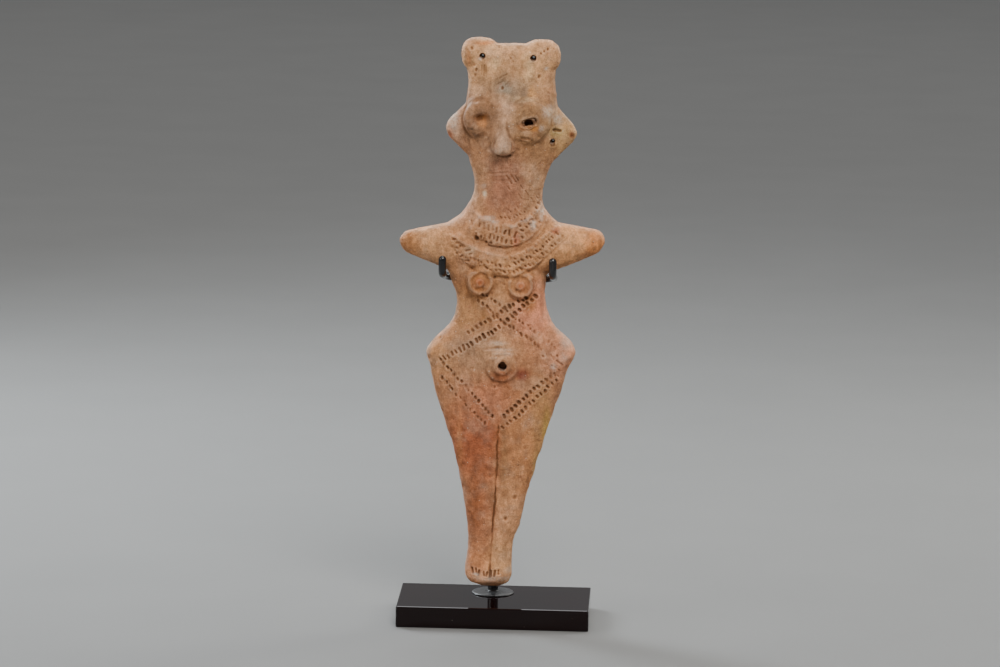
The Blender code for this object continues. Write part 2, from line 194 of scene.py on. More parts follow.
# How uneven the edges of the left and the right leg are
LEG_WEAR = (0.18, 0.34)

# Punched rows: the path, the spacing, length, half width and depth of the strokes, their slant in
# degrees, how the depth changes from the first end to the last, and how dark the soil and painted shade in
# them is
WAIST_PITCH = 1.48
ROWS = [
    ([(8.4, 87.6), (3.0, 84.9), (-1.9, 81.2), (-5.6, 79.0), (-8.6, 77.0)],
     WAIST_PITCH, 0.55, 0.42, 0.55, -48, (1.1, 0.6), 1.0),
    ([(11.0, 88.2), (7.4, 85.2), (3.9, 81.8), (1.4, 79.4), (-0.6, 77.9)],
     WAIST_PITCH, 0.6, 0.42, 0.6, -52, (1.1, 0.8), 1.0),
    ([(-1.6, 77.2), (-4.7, 75.6), (-9.2, 72.8), (-13.6, 70.2), (-16.9, 68.4)],
     1.38, 1.0, 0.38, 0.6, -58, (1.2, 0.45), 1.0),
    ([(-4.6, 88.6), (-1.1, 86.5), (1.6, 84.3), (5.7, 81.3), (10.0, 78.2), (13.7, 75.6), (17.1, 73.0)],
     WAIST_PITCH, 0.45, 0.36, 0.42, -60, (1.0, 0.4), 0.7),
    ([(-5.8, 86.4), (-3.0, 84.4), (1.2, 80.6), (5.0, 78.4), (7.4, 77.0), (12.0, 73.6), (16.5, 69.6)],
     WAIST_PITCH, 0.6, 0.36, 0.44, -62, (1.1, 0.4), 0.75),
    ([(-16.8, 68.6), (-15.5, 67.0), (-12.4, 64.2), (-9.3, 60.9), (-6.2, 57.6), (-3.5, 54.7), (-1.1, 52.2)],
     WAIST_PITCH, 0.42, 0.4, 0.52, -75, (0.8, 0.9), 0.7),
    ([(-16.2, 62.8), (-13.5, 59.6), (-9.3, 55.6), (-5.8, 51.9), (-3.2, 49.8)],
     WAIST_PITCH, 0.5, 0.36, 0.42, -80, (1.0, 0.7), 0.55),
    ([(17.0, 64.9), (11.5, 61.0), (8.4, 57.9), (5.4, 55.2), (2.3, 52.5)],
     WAIST_PITCH, 0.6, 0.42, 0.56, -48, (0.5, 1.1), 0.95),
    ([(17.4, 63.2), (14.2, 60.0), (9.6, 55.7), (7.4, 53.3), (4.8, 50.8), (2.0, 48.8)],
     WAIST_PITCH, 0.55, 0.38, 0.46, -50, (0.9, 0.8), 0.8),
    ([(-5.6, 109.0), (-2.2, 108.3), (1.4, 107.4), (4.4, 106.8)],
     1.21, 1.3, 0.4, 0.4, 92, (0.7, 1.0), 0.4),
    ([(-4.0, 105.9), (-0.6, 105.2), (2.6, 104.6), (5.0, 104.8)],
     1.26, 0.9, 0.4, 0.4, 94, (0.9, 0.9), 0.4),
    ([(-6.2, 106.6), (-4.6, 105.0), (-2.6, 104.2)],
     1.16, 0.5, 0.42, 0.37, 80, (1.2, 0.8), 0.43),
    ([(5.6, 109.2), (8.4, 111.4), (11.0, 114.0), (12.2, 116.4)],
     1.26, 0.6, 0.38, 0.37, -38, (1.0, 0.8), 0.4),
    ([(5.8, 107.2), (8.0, 108.8), (10.6, 111.4)],
     1.26, 0.6, 0.4, 0.37, -35, (1.0, 0.8), 0.36),
    ([(6.6, 105.6), (9.4, 107.4), (11.9, 110.2)],
     1.3, 0.5, 0.36, 0.32, -40, (1.0, 0.7), 0.32),
    ([(0.6, 111.4), (3.6, 111.2), (6.6, 112.8), (9.6, 115.6), (11.6, 118.2)],
     1.16, 0.55, 0.3, 0.26, -45, (0.8, 1.0), 0.29),
    ([(0.9, 113.4), (4.2, 113.4), (7.2, 115.2), (10.2, 118.4)],
     1.3, 0.5, 0.28, 0.21, -48, (0.9, 0.9), 0.22),
    ([(-12.9, 104.6), (-10.6, 102.3), (-8.4, 100.6)],
     1.21, 0.9, 0.38, 0.35, 10, (1.0, 0.8), 0.36),
    ([(-12.4, 102.0), (-11.0, 100.0), (-9.4, 98.2)],
     1.26, 0.9, 0.36, 0.32, -6, (1.0, 0.8), 0.32),
    ([(-8.2, 99.6), (-5.0, 98.4), (-1.6, 97.6), (2.0, 96.9)],
     1.26, 0.55, 0.36, 0.32, -62, (0.8, 1.0), 0.32),
    ([(-6.0, 97.2), (-3.0, 96.2), (1.0, 95.4), (4.6, 95.4)],
     1.3, 0.55, 0.36, 0.32, -58, (0.9, 1.0), 0.36),
    ([(3.4, 97.4), (7.6, 98.9), (11.4, 101.6), (14.6, 104.8), (16.8, 106.8)],
     1.26, 0.6, 0.38, 0.37, -40, (0.9, 1.0), 0.36),
    ([(5.6, 96.0), (9.4, 97.4), (12.8, 100.3), (16.0, 103.6), (18.6, 105.8)],
     1.26, 0.6, 0.38, 0.35, -34, (0.9, 0.8), 0.32),
    ([(2.2, 99.0), (6.6, 100.4), (10.2, 102.7), (13.0, 105.2), (15.4, 107.9)],
     1.35, 0.5, 0.34, 0.29, -42, (0.7, 0.9), 0.32),
    ([(13.4, 70.2), (15.6, 71.4), (17.8, 70.6)],
     1.6, 0.4, 0.32, 0.27, -50, (1.0, 0.8), 0.36),
    ([(14.4, 67.6), (17.0, 67.4), (19.0, 66.2)],
     1.6, 0.4, 0.32, 0.26, -50, (1.0, 0.8), 0.36),
    ([(16.2, 65.4), (18.2, 64.0)],
     1.6, 0.4, 0.3, 0.24, -50, (1.0, 0.8), 0.29),
    ([(-6.3, 5.2), (-2.6, 4.6), (1.2, 5.0)],
     1.12, 1.35, 0.3, 0.5, 86, (1.0, 0.9), 1.0),
]

# How the strokes vary: place when clear and when faint, slant in degrees, and shares of the
# length and depth, of the soil and painted shade, and of the width
PLACE_SPREAD = (0.13, 0.22)
SLANT_SPREAD = 10
SIZE_RANGE = (0.6, 1.25)
SOIL_AND_SHADE_RANGE = (0.5, 1.25)
WIDTH_RANGE = (0.8, 1.15)
CLEAR_STROKE = 0.6

# A stroke's reach in half widths, its lip as share of the depth, place and half width, and the
# faint soil and painted shade round it as share of its darkness and reach
STROKE_REACH = 4.0
STROKE_LIP = (0.3, 1.7, 0.6)
STROKE_HALO = (0.26, 2.4)

# Single cuts: from and to (right, up), half width, depth and darkness
CUTS = [
    ((-6.0, 155.9), (-6.0, 153.2), 0.2, 0.12, 0.32),
    ((-5.2, 156.1), (-5.3, 153.0), 0.2, 0.12, 0.36),
    ((-4.5, 155.8), (-4.6, 153.9), 0.2, 0.1, 0.3),
    ((-0.6, 152.4), (1.6, 153.7), 0.22, 0.12, 0.32),
    ((-1.6, 150.6), (0.2, 151.4), 0.22, 0.12, 0.3),
    ((0.9, 150.2), (2.2, 151.6), 0.22, 0.12, 0.28),
    ((2.4, 158.4), (3.4, 157.2), 0.24, 0.12, 0.28),
    ((-2.0, 161.9), (-0.4, 161.7), 0.24, 0.12, 0.32),
    ((8.6, 153.9), (10.2, 153.4), 0.24, 0.12, 0.28),
    ((5.2, 149.6), (6.6, 148.9), 0.22, 0.1, 0.24),
    # The nose's lower end: these two cuts' darkness is painted shade under it, with soil
    ((-0.9, 129.9), (0.5, 129.4), 0.45, 0.25, 0.45),
    ((0.9, 129.4), (2.9, 129.8), 0.45, 0.25, 0.5),
    ((-2.6, 124.4), (3.0, 124.8), 0.34, 0.14, 0.25),
    ((-2.0, 122.2), (2.4, 122.5), 0.3, 0.12, 0.2),
    ((1.9, 123.9), (3.4, 121.6), 0.28, 0.2, 0.3),
    ((3.1, 124.4), (4.7, 122.1), 0.28, 0.2, 0.3),
    ((4.5, 123.8), (5.4, 122.4), 0.24, 0.2, 0.35),
    ((2.3, 120.7), (3.0, 119.7), 0.24, 0.18, 0.3),
    ((6.0, 121.2), (6.8, 120.0), 0.22, 0.16, 0.3),
    ((5.6, 118.4), (6.4, 117.2), 0.22, 0.16, 0.3),
    ((7.6, 119.4), (8.4, 118.2), 0.22, 0.16, 0.3),
    ((15.7, 137.3), (17.3, 137.0), 0.42, 0.4, 0.55),
    ((17.6, 69.0), (19.2, 67.7), 0.34, 0.22, 0.3),
    # The belly mound's lower edge: these two cuts' darkness is its painted shade
    ((-3.6, 72.2), (1.2, 72.8), 0.34, 0.18, 0.15),
    ((-1.8, 70.4), (3.8, 70.7), 0.34, 0.18, 0.2),
    # The right eye's pit: a broad bowl, then the slit, whose darkness is painted shade on the pit's upper
    # part
    ((7.4, 139.0), (9.4, 139.7), 1.9, 0.45, 0.08),
    ((7.0, 139.5), (9.7, 140.3), 0.8, 1.1, 1.1),
    ((-6.6, 140.0), (-5.0, 140.5), 1.35, 0.8, 0.3),
    ((-6.0, 135.3), (-4.6, 135.9), 0.75, 0.3, 0.28),
    ((6.2, 135.2), (8.4, 135.0), 0.4, 0.25, 0.45),
]

# Small dents and old punch marks: centre (right, up), radius, depth and darkness
DENTS = [
    (-8.9, 160.9, 0.5, 0.3, 0.35),
    (-7.6, 154.6, 0.45, 0.28, 0.4),
    (-7.9, 153.0, 0.4, 0.2, 0.3),
    (-1.0, 161.6, 0.4, 0.2, 0.4),
    (11.3, 159.8, 0.35, 0.22, 0.3),
    (12.2, 160.4, 0.35, 0.22, 0.3),
    (13.3, 161.0, 0.4, 0.25, 0.3),
    (10.9, 153.0, 0.5, 0.25, 0.45),
    (9.3, 153.3, 0.35, 0.18, 0.3),
    (0.3, 149.6, 0.45, 0.3, 0.5),
    (-6.6, 105.2, 0.6, 0.6, 0.65),
    (-3.8, 104.2, 0.45, 0.45, 0.5),
    (-2.3, 104.0, 0.42, 0.42, 0.5),
    (20.8, 135.6, 0.6, 0.25, 0.45),
    (10.1, 92.9, 0.45, 0.2, 0.3),
    (-0.6, 61.0, 0.4, 0.2, 0.3),
    (-6.1, 140.7, 0.75, 0.55, 0.85),
    (5.9, 27.5, 0.55, 0.25, 0.4),
    (3.2, 21.0, 0.6, 0.3, 0.4),
    (15.2, 133.2, 0.6, 0.3, 0.9),
]

# Regional colours of the fired clay: centre (right, up), reach (right, up), colour in sRGB, weight
CLAY_BASE = (170, 124, 95)
RICHNESS = 1.2
GAIN = 1.25
PATCHES = [
    ((2.5, 157.0), (15.0, 7.0), (196, 156, 120), 0.9),
    ((2.5, 150.0), (6.0, 3.4), (118, 100, 82), 1.9),
    ((2.6, 159.5), (3.6, 3.6), (186, 146, 116), 0.9),
    ((5.8, 156.5), (1.6, 4.0), (166, 124, 90), 0.8),
    ((10.5, 131.5), (4.0, 4.0), (142, 106, 78), 0.7),
    # The breasts' discs: darker, partly their own clay and partly painted shade of their ring grooves
    ((-5.3, 92.0), (4.0, 4.0), (136, 90, 58), 1.3),
    ((6.6, 91.4), (4.0, 4.0), (148, 102, 70), 1.1),
    ((0.9, 140.0), (2.6, 10.0), (192, 158, 132), 0.8),
    ((-6.0, 139.8), (5.2, 6.4), (132, 101, 78), 1.8),
    ((8.6, 139.6), (6.2, 6.6), (140, 109, 82), 1.7),
    ((18.0, 137.0), (4.5, 6.0), (178, 146, 108), 0.8),
    ((-13.5, 138.0), (3.5, 5.0), (186, 152, 128), 0.7),
    # The neck: darker, partly its own clay and partly painted shade under the head
    ((1.0, 121.0), (7.0, 7.0), (146, 104, 85), 0.9),
    ((-6.5, 121.0), (3.0, 7.0), (176, 138, 108), 0.9),
    ((9.8, 122.0), (3.6, 8.0), (174, 138, 108), 0.8),
    ((-3.0, 106.0), (8.0, 4.0), (166, 124, 94), 0.9),
    ((3.5, 96.5), (9.0, 4.0), (182, 138, 104), 0.9),
    ((-20.0, 102.5), (7.0, 7.0), (184, 142, 108), 0.8),
    ((-28.0, 103.0), (3.5, 5.0), (154, 104, 68), 1.0),
    ((20.0, 103.0), (7.0, 7.0), (198, 150, 112), 0.8),
    ((29.5, 104.0), (4.0, 5.0), (192, 130, 88), 1.1),
    ((0.8, 89.5), (6.0, 4.5), (176, 134, 102), 0.7),
    ((10.5, 84.0), (4.5, 7.0), (206, 142, 116), 1.1),
    ((-2.5, 57.0), (6.0, 4.5), (170, 114, 90), 0.9),
    ((4.0, 62.0), (4.0, 4.0), (160, 108, 80), 0.6),
    ((-9.0, 84.0), (4.5, 7.0), (162, 122, 90), 0.8),
    ((-6.0, 71.0), (7.0, 5.5), (152, 120, 96), 0.8),
    ((1.0, 72.5), (5.0, 3.0), (188, 148, 116), 0.8),
    ((10.0, 72.0), (7.0, 6.0), (164, 118, 90), 0.7),
    ((-17.5, 70.0), (5.0, 5.0), (178, 134, 100), 0.8),
    ((17.8, 71.5), (5.0, 5.0), (196, 142, 116), 0.9),
    ((-6.0, 44.0), (8.0, 8.0), (155, 95, 70), 1.1),
    ((7.5, 40.0), (5.5, 16.0), (178, 128, 94), 0.9),
    ((13.2, 46.0), (2.2, 14.0), (170, 132, 94), 0.5),
    ((-5.5, 22.0), (4.5, 12.0), (154, 106, 82), 0.8),
    ((4.2, 20.0), (3.8, 12.0), (196, 149, 116), 0.9),
    ((-5.0, 8.0), (4.0, 5.0), (176, 122, 90), 0.9),
    ((2.0, 8.0), (4.0, 5.0), (188, 146, 110), 0.9),
    ((-2.0, 3.4), (5.0, 2.0), (208, 158, 126), 1.2),
]

# Small stains: centre (right, up), reach (right, up), colour in sRGB
STAINS = [
    ((7.4, 65.0), (2.0, 1.7), (116, 48, 24)),
    # Painted shade of the navel mound's lower edge, in brown
    ((1.3, 64.2), (3.8, 1.9), (128, 80, 58)),
    ((-5.0, 162.4), (3.2, 0.6), (168, 112, 78)),
    ((-9.8, 158.0), (0.8, 2.2), (176, 124, 90)),
    ((-5.2, 154.5), (0.9, 2.0), (150, 114, 84)),
    ((3.4, 156.0), (1.5, 4.5), (168, 130, 100)),
    ((0.2, 151.6), (2.6, 1.3), (138, 110, 86)),
    ((7.8, 155.8), (1.8, 3.8), (206, 170, 132)),
    ((-4.0, 160.0), (3.0, 1.3), (204, 164, 130)),
    ((-2.0, 156.6), (1.6, 1.6), (190, 158, 124)),
    ((9.0, 148.0), (1.5, 2.6), (178, 134, 96)),
    ((-7.0, 148.6), (1.8, 1.6), (186, 148, 118)),
    ((-4.4, 118.3), (0.6, 0.9), (214, 180, 140)),
    # The next three are painted light on the lit lower floor of the right eye's pit, in its ochre colour
    ((7.0, 138.6), (2.2, 1.3), (146, 88, 24)),
    ((8.6, 138.3), (2.2, 1.0), (150, 98, 40)),
    ((9.8, 138.4), (1.2, 0.9), (160, 108, 66)),
    ((-5.8, 140.4), (2.0, 1.9), (146, 96, 58)),
    ((-5.4, 139.2), (1.6, 1.0), (172, 122, 86)),
    ((1.2, 149.4), (2.4, 1.8), (124, 114, 100)),
    ((6.0, 146.6), (5.0, 1.0), (160, 134, 108)),
    ((20.6, 136.0), (0.8, 1.2), (120, 64, 36)),
    ((-15.0, 134.6), (1.0, 2.4), (158, 96, 70)),
    ((16.4, 136.8), (2.2, 1.4), (166, 140, 92)),
    ((4.9, 105.2), (1.0, 2.4), (168, 102, 78)),
    ((16.6, 107.6), (1.4, 1.0), (190, 122, 96)),
    ((-5.3, 92.0), (1.2, 1.2), (172, 106, 76)),
    ((6.6, 91.4), (1.2, 1.2), (176, 112, 82)),
    ((-3.6, 46.5), (4.4, 3.4), (142, 83, 61)),
    ((-5.0, 36.0), (3.0, 8.0), (145, 93, 69)),
    ((-5.6, 24.0), (2.4, 7.0), (141, 89, 63)),
    # A brown band beside the groove between the legs: painted shade of its valley
    ((2.6, 38.0), (1.4, 12.0), (142, 104, 76)),
    ((14.8, 47.0), (1.2, 7.0), (184, 150, 92)),
    ((12.2, 35.0), (1.0, 6.0), (176, 142, 96)),
    ((-6.5, 44.0), (3.5, 7.0), (149, 91, 68)),
    ((-10.9, 45.0), (0.9, 9.0), (168, 114, 84)),
    ((-4.0, 81.0), (2.0, 2.4), (136, 98, 68)),
    ((9.0, 86.0), (2.0, 3.0), (158, 108, 74)),
    ((-6.0, 48.4), (3.4, 2.2), (144, 86, 61)),
    ((-8.2, 101.6), (2.0, 1.5), (184, 150, 122)),
]

# Chalky deposits: centre (right, up), reach (right, up), strength
CHALK = [
    ((-4.4, 118.3), (0.5, 0.8), 0.7),
    ((-4.7, 120.6), (0.9, 0.6), 0.25),
    ((-3.2, 111.2), (1.9, 0.6), 0.4),
    ((9.8, 109.4), (0.9, 1.5), 0.65),
    ((12.2, 112.6), (0.8, 2.2), 0.4),
    ((0.0, 74.0), (2.6, 0.7), 0.34),
    ((1.4, 72.2), (3.6, 0.5), 0.26),
    ((2.6, 71.0), (2.4, 0.5), 0.22),
    ((19.6, 69.8), (1.4, 1.6), 0.3),
    ((20.0, 73.6), (1.6, 1.8), 0.22),
    ((-20.5, 72.0), (1.0, 3.0), 0.25),
    ((16.6, 67.4), (0.9, 1.0), 0.42),
    ((14.0, 142.8), (1.8, 1.6), 0.28),
    ((16.2, 140.4), (1.4, 1.6), 0.4),
    ((12.0, 138.4), (0.9, 0.9), 0.35),
    ((-13.8, 139.6), (1.4, 3.6), 0.45),
    ((-6.5, 157.8), (0.5, 0.4), 0.7),
    ((13.0, 155.4), (0.6, 0.6), 0.5),
    ((-5.2, 4.2), (1.0, 0.5), 0.5),
    ((0.0, 2.8), (6.0, 0.9), 0.4),
    ((4.4, 5.4), (1.4, 1.0), 0.25),
    ((-0.6, 131.6), (2.6, 1.0), 0.25),
    ((1.0, 133.0), (2.0, 2.4), 0.18),
]
RIDGE_CHALK = 0.4

# Weight of the base colour, strength of the patches and stains, and the most soil and painted shade that a
# layer holds
BASE_WEIGHT = 0.35
PATCH_STRENGTH = 2.2
STAIN_STRENGTH = 0.85
LAYER_LIMIT = 1.5

# Colours of clay, paint and acrylic, in linear light
DARK_MOTTLE = (0.62, 0.52, 0.44)
PALE_MOTTLE = (0.62, 0.44, 0.31)
ROSE = (0.42, 0.17, 0.095)
DARK_SPECK = (0.1, 0.045, 0.025)
PALE_SPECK = (0.74, 0.62, 0.5)
# Paler clay of rubbed wear and of the painted highlight on raised lumps
RUBBED_AND_LIT_CLAY = (0.7, 0.52, 0.38)
# Dark brown of the soil and of the painted shade in strokes, hollows and holes
SOIL_AND_SHADE = (0.125, 0.046, 0.014)
# Pale colour of the chalky crust and of the painted top light on upward sides
CRUST_AND_HIGHLIGHT = (0.75, 0.67, 0.57)
PAINT_DARK = (0.008, 0.008, 0.009)
PAINT_LIGHT = (0.02, 0.019, 0.02)
PAINT_RUBBED = (0.07, 0.065, 0.062)
# Lighter grey of the collar: a painted reflection
COLLAR_SHEEN = (0.024, 0.023, 0.023)
ACRYLIC_DARK = (0.004, 0.001, 0.001)
ACRYLIC_LIGHT = (0.0075, 0.0022, 0.002)
DUST = (0.3, 0.28, 0.25)

# The camera: turn in degrees, place in metres, and long lens
PITCH, YAW, ROLL = 9.679, 2.274, 0.923
CAMERA_PLACE = (0.05259, -1.31387, 0.31059)
LENS = 162.0

# Floor and surround in linear light, then the lights: name, place, aim, size, power and colour
FLOOR_DARK = (0.17, 0.17, 0.167)
FLOOR_LIGHT = (0.188, 0.188, 0.184)
SURROUND = (0.24, 0.245, 0.25, 1.0)
AIM = (0.0, 0.0, 0.1)
LIGHTS = [
    ("key", (0.26, -0.85, 1.05), AIM, (0.55, 0.55), 17.5, (1.0, 0.97, 0.93)),
    ("left fill", (-0.85, -0.45, 0.45), AIM, (0.4, 0.5), 2.8, (1.0, 0.98, 0.95)),
    ("left rim", (-0.36, 0.3, 0.34), AIM, (0.12, 0.26), 3.6, (0.86, 0.94, 1.0)),
    ("right rim", (0.38, 0.28, 0.32), AIM, (0.12, 0.26), 1.2, (0.98, 1.0, 0.94)),
    ("backdrop", (0.0, 1.55, 1.2), (0.0, 1.55, 0.0), (2.6, 1.2), 11.0, (1.0, 1.0, 0.99)),
    ("top", (0.0, 0.3, 0.75), AIM, (0.4, 0.3), 3.0, (0.96, 0.98, 1.0)),
]

rng = np.random.default_rng(7)


def smoothstep(low, high, value):
    t = np.clip((value - low) / (high - low), 0.0, 1.0)
    return t * t * (3.0 - 2.0 * t)


def within(value, rise, fall):
    """1 between two spans, easing up from 0 over the first and back over the second."""
    return smoothstep(*rise, value) * (1 - smoothstep(*fall, value))


def bell(offset, width):
    """1 at no offset, falling off alike to both sides."""
    return np.exp(-((offset / width) ** 2))


def linear(colour):
    """An sRGB colour of 0 to 255 as linear light."""
    c = np.asarray(colour, float) / 255.0
    return np.where(c <= 0.04045, c / 12.92, ((c + 0.055) / 1.055) ** 2.4)


def deepened(colour):
    """A patch colour as seen in the photograph, made lighter and richer to stand the studio light."""
    light = linear(colour)
    grey = light.mean()
    return np.clip((grey + (light - grey) * RICHNESS) * GAIN, 0.01, 0.9)


LATTICE = rng.random((LATTICE_CELLS,) * 3)


def noise(points, size, offset=0.0):
    """Smooth value noise from -1 to 1 with lumps of about the given size."""
    scaled = points / size + offset
    base = np.floor(scaled).astype(int)
    part = scaled - base
    part = part * part * (3.0 - 2.0 * part)
    total = np.zeros(len(points))
    for corner in np.ndindex(2, 2, 2):
        weight = np.ones(len(points))
        for axis, step in enumerate(corner):
            weight = weight * (part[:, axis] if step else 1.0 - part[:, axis])
        i, j, k = ((base[:, axis] + step) % LATTICE_CELLS for axis, step in enumerate(corner))
        total += weight * LATTICE[i, j, k]
    return 2.0 * total - 1.0


SCATTER = rng.random((*(SCATTER_CELLS,) * 3, 4))


def pores(points, size, share):
    """How deep each point lies in scattered round pores, from 0 to 1."""
    scaled = points / size
    base = np.floor(scaled).astype(int)
    depth = np.zeros(len(points))
    for step in np.ndindex(3, 3, 3):
        cell = base + np.array(step) - 1
        i, j, k = (cell[:, axis] % SCATTER_CELLS for axis in range(3))
        seed = SCATTER[i, j, k]
        centre = cell + seed[:, :3]
        radius = 0.22 + 0.3 * ((seed[:, 3] * 7.0) % 1.0)
        reach = 1.0 - np.linalg.norm(scaled - centre, axis=1) / radius
        depth = np.maximum(depth, np.where(seed[:, 3] < share, np.clip(reach, 0, 1), 0))
    return smoothstep(0.0, 0.8, depth)


def walk(path, spacing):
    """Points at even spacing along a path of straight runs, and their shares of its length."""
    points = np.asarray(path, float)
    steps = np.diff(points, axis=0)
    along = np.concatenate([[0.0], np.cumsum(np.hypot(*steps.T))])
    count = max(int(round(along[-1] / spacing)), 1)
    places = np.linspace(0, along[-1], count + 1)
    spots = np.stack([np.interp(places, along, points[:, axis]) for axis in (0, 1)], axis=1)
    return spots, places / along[-1]


def distance_to_path(right, up, path):
    """Shortest distance to a path, with its sign: positive above the path."""
    best = np.full(len(right), 1e9)
    side = np.zeros(len(right))
    for (ax, ay), (bx, by) in zip(path, path[1:]):
        dx, dy = bx - ax, by - ay
        t = np.clip(((right - ax) * dx + (up - ay) * dy) / (dx * dx + dy * dy), 0, 1)
        ox, oy = right - ax - t * dx, up - ay - t * dy
        away = np.hypot(ox, oy)
        nearer = away < best
        best = np.where(nearer, away, best)
        side = np.where(nearer, np.sign(dx * oy - dy * ox), side)
    return best * side


def stroke_list():
    """Every punched stroke and cut as (start, end, half width, depth, darkness)."""
    made = []
    for path, spacing, length, half_width, depth, slant, (first, last), dark in ROWS:
        spots, shares = walk(path, spacing)
        for spot, share in zip(spots, shares):
            spot = spot + rng.normal(0, PLACE_SPREAD[0] if dark > CLEAR_STROKE else PLACE_SPREAD[1], 2)
            angle = math.radians(slant + rng.normal(0, SLANT_SPREAD))
            half = 0.5 * length * rng.uniform(*SIZE_RANGE)
            reach = np.array([math.cos(angle), math.sin(angle)]) * half
            change = first + (last - first) * share
            deep = 0.9 * depth * change * rng.uniform(*SIZE_RANGE)
            shade = min(0.9, 0.85 * dark * change * rng.uniform(*SOIL_AND_SHADE_RANGE))
            made.append((spot - reach, spot + reach, half_width * rng.uniform(*WIDTH_RANGE), deep, shade))
    for start, end, half_width, depth, dark in CUTS:
        made.append((np.array(start), np.array(end), half_width, depth, dark))
    for x, y, radius, depth, dark in DENTS:
        made.append((np.array([x, y - 0.1]), np.array([x, y + 0.1]), radius, depth, dark))
    return made


STROKES = stroke_list()


def strokes(right, up):
    """Depth, lip height, soil with painted shade, and the faint soil and shade round all strokes over the
    front.
    """
    depth = np.zeros(len(right))
    lip = np.zeros(len(right))
    shade = np.zeros(len(right))
    halo = np.zeros(len(right))
    lip_share, lip_place, lip_width = STROKE_LIP
    halo_share, halo_reach = STROKE_HALO
    for start, end, half_width, deep, dark in STROKES:
        low = np.minimum(start, end) - STROKE_REACH * half_width
        high = np.maximum(start, end) + STROKE_REACH * half_width
        near = np.flatnonzero((right > low[0]) & (right < high[0]) & (up > low[1]) & (up < high[1]))
        if not len(near):
            continue
        run = end - start
        dx, dy = right[near] - start[0], up[near] - start[1]
        t = np.clip((dx * run[0] + dy * run[1]) / (run @ run + 1e-9), 0, 1)
        away = np.hypot(dx - t * run[0], dy - t * run[1]) / half_width
        hollow = np.exp(-((away * 0.95) ** 2.6))
        depth[near] = np.maximum(depth[near], deep * hollow)
        shade[near] = np.maximum(shade[near], dark * np.exp(-((away * 0.92) ** 3)))
        lip[near] = np.maximum(lip[near], lip_share * deep * bell(away - lip_place, lip_width))
        halo[near] = np.maximum(halo[near], halo_share * dark * bell(away, halo_reach))
    return depth, lip, shade, halo


def modelled_relief(right, up):
    """Height of the modelled ornament of the front over the smooth skin, without the strokes."""
    height = np.zeros(len(right))
    for x, y, radius in (LEFT_EYE, RIGHT_EYE):
        dx, dy = right - x, up - y
        away = np.hypot(dx, dy * EYE_SQUASH)
        upper = smoothstep(-3.0, 3.5, dy)
        for rise, share, width in EYE_RINGS:
            height += rise * upper * bell(away - radius * share, width)
        rise, share, width = EYE_CREASE
        height += rise * (1 - upper) * bell(away - radius * share, width)
        sink, share = EYE_SINK
        height -= sink * bell(away, share * radius)
    aside = np.abs(right - NOSE_MIDDLE)
    under = NOSE_END + NOSE_ARCH * aside**2
    along = within(up, (under, under + 1.4), (132.5, 139.0))
    height += NOSE_FLARE * along * bell(aside - 2.4, 1.4)
    height -= NOSE_NOTCH * within(up, (NOSE_END, 130.2), (130.8, 132.4)) * bell(aside, 0.7)
    for path in LOBE_VALLEYS:
        height -= VALLEY_DEPTH * bell(distance_to_path(right, up, path), VALLEY_WIDTH)
    for x, y, radius in BREASTS:
        away = np.hypot(right - x, up - y)
        turn = np.arctan2(up - y, right - x)
        for rise, share, sway, width in BREAST_RINGS:
            height += rise * bell(away - radius * (share + sway * np.sin(turn * 2)), width)
    x, y, radius = NAVEL
    away = np.hypot(right - x, up - y)
    rise, middle, width = NAVEL_RIM
    height += rise * bell(away - middle, width)
    lower = smoothstep(1.0, -3.0, up - y)
    for rise, share, width in NAVEL_RINGS:
        height += rise * lower * bell(away - radius * share, width)
    for path, rise, shift, width in BAND_LINES:
        height += rise * bell(distance_to_path(right, up, path) + shift, width)
    return height


def groove_middle(up):
    return np.interp(up, GROOVE_HEIGHTS, GROOVE_MIDDLES)


def groove(right, up):
    """The groove between the legs: a crease above, broader and broken below."""
    wander = 0.07 * np.sin(up * 0.55) + 0.06 * np.sin(up * 1.7 + 1.0)
    width = 0.32 + 0.08 * np.sin(up * 0.9) * np.sin(up * 0.37) + 0.1 * smoothstep(22.0, 6.0, up)
    ends = within(up, (2.0, 4.0), (47.5, 51.0))
    return ends * bell(right - groove_middle(up) - wander, width)


def groove_shoulder(right, up):
    """The soft valley that the groove lies in."""
    return within(up, (4.0, 10.0), (40.0, 52.0)) * bell(right - groove_middle(up), 1.7)


def worn_skin(points):
    """Height of the hand-formed, worn surface all over, in millimetres."""
    height = WIPE_HEIGHT * noise(points * (0.35, 1.0, 1.6), 1.5, 4.4) - SKIN_LOSS
    for rise, size, shift in WORN_LUMPS:
        height += rise * noise(points, size, shift)
    for depth, size, shift in WORN_PORES:
        height -= depth * pores(points + shift, size, PORE_SHARE)
    return height


def edge_array(mesh):
    edges = np.zeros(len(mesh.edges) * 2, int)
    mesh.edges.foreach_get("vertices", edges)
    return edges.reshape(-1, 2)


def neighbour_count(edges, size):
    return np.maximum(np.bincount(edges.ravel(), minlength=size), 1)


def neighbour_mean(co, edges, count):
    total = np.zeros_like(co)
    for axis in range(3):
        total[:, axis] = np.bincount(edges[:, 0], co[edges[:, 1], axis], len(co))
        total[:, axis] += np.bincount(edges[:, 1], co[edges[:, 0], axis], len(co))
    return total / count[:, None]


def smooth(co, edges, rounds, weight, keep_volume=True):
    """Even out a mesh, more where the weight is higher, without shrinking its thin ends."""
    count = neighbour_count(edges, len(co))
    for _ in range(rounds):
        co = co + SMOOTH_IN * weight[:, None] * (neighbour_mean(co, edges, count) - co)
        if keep_volume:
            co = co - SMOOTH_OUT * weight[:, None] * (neighbour_mean(co, edges, count) - co)
    return co


def read_vectors(items, key):
    values = np.zeros(len(items) * 3)
    items.foreach_get(key, values)
    return values.reshape(-1, 3)


def write_points(mesh, co):
    mesh.vertices.foreach_set("co", co.ravel())
    mesh.update()


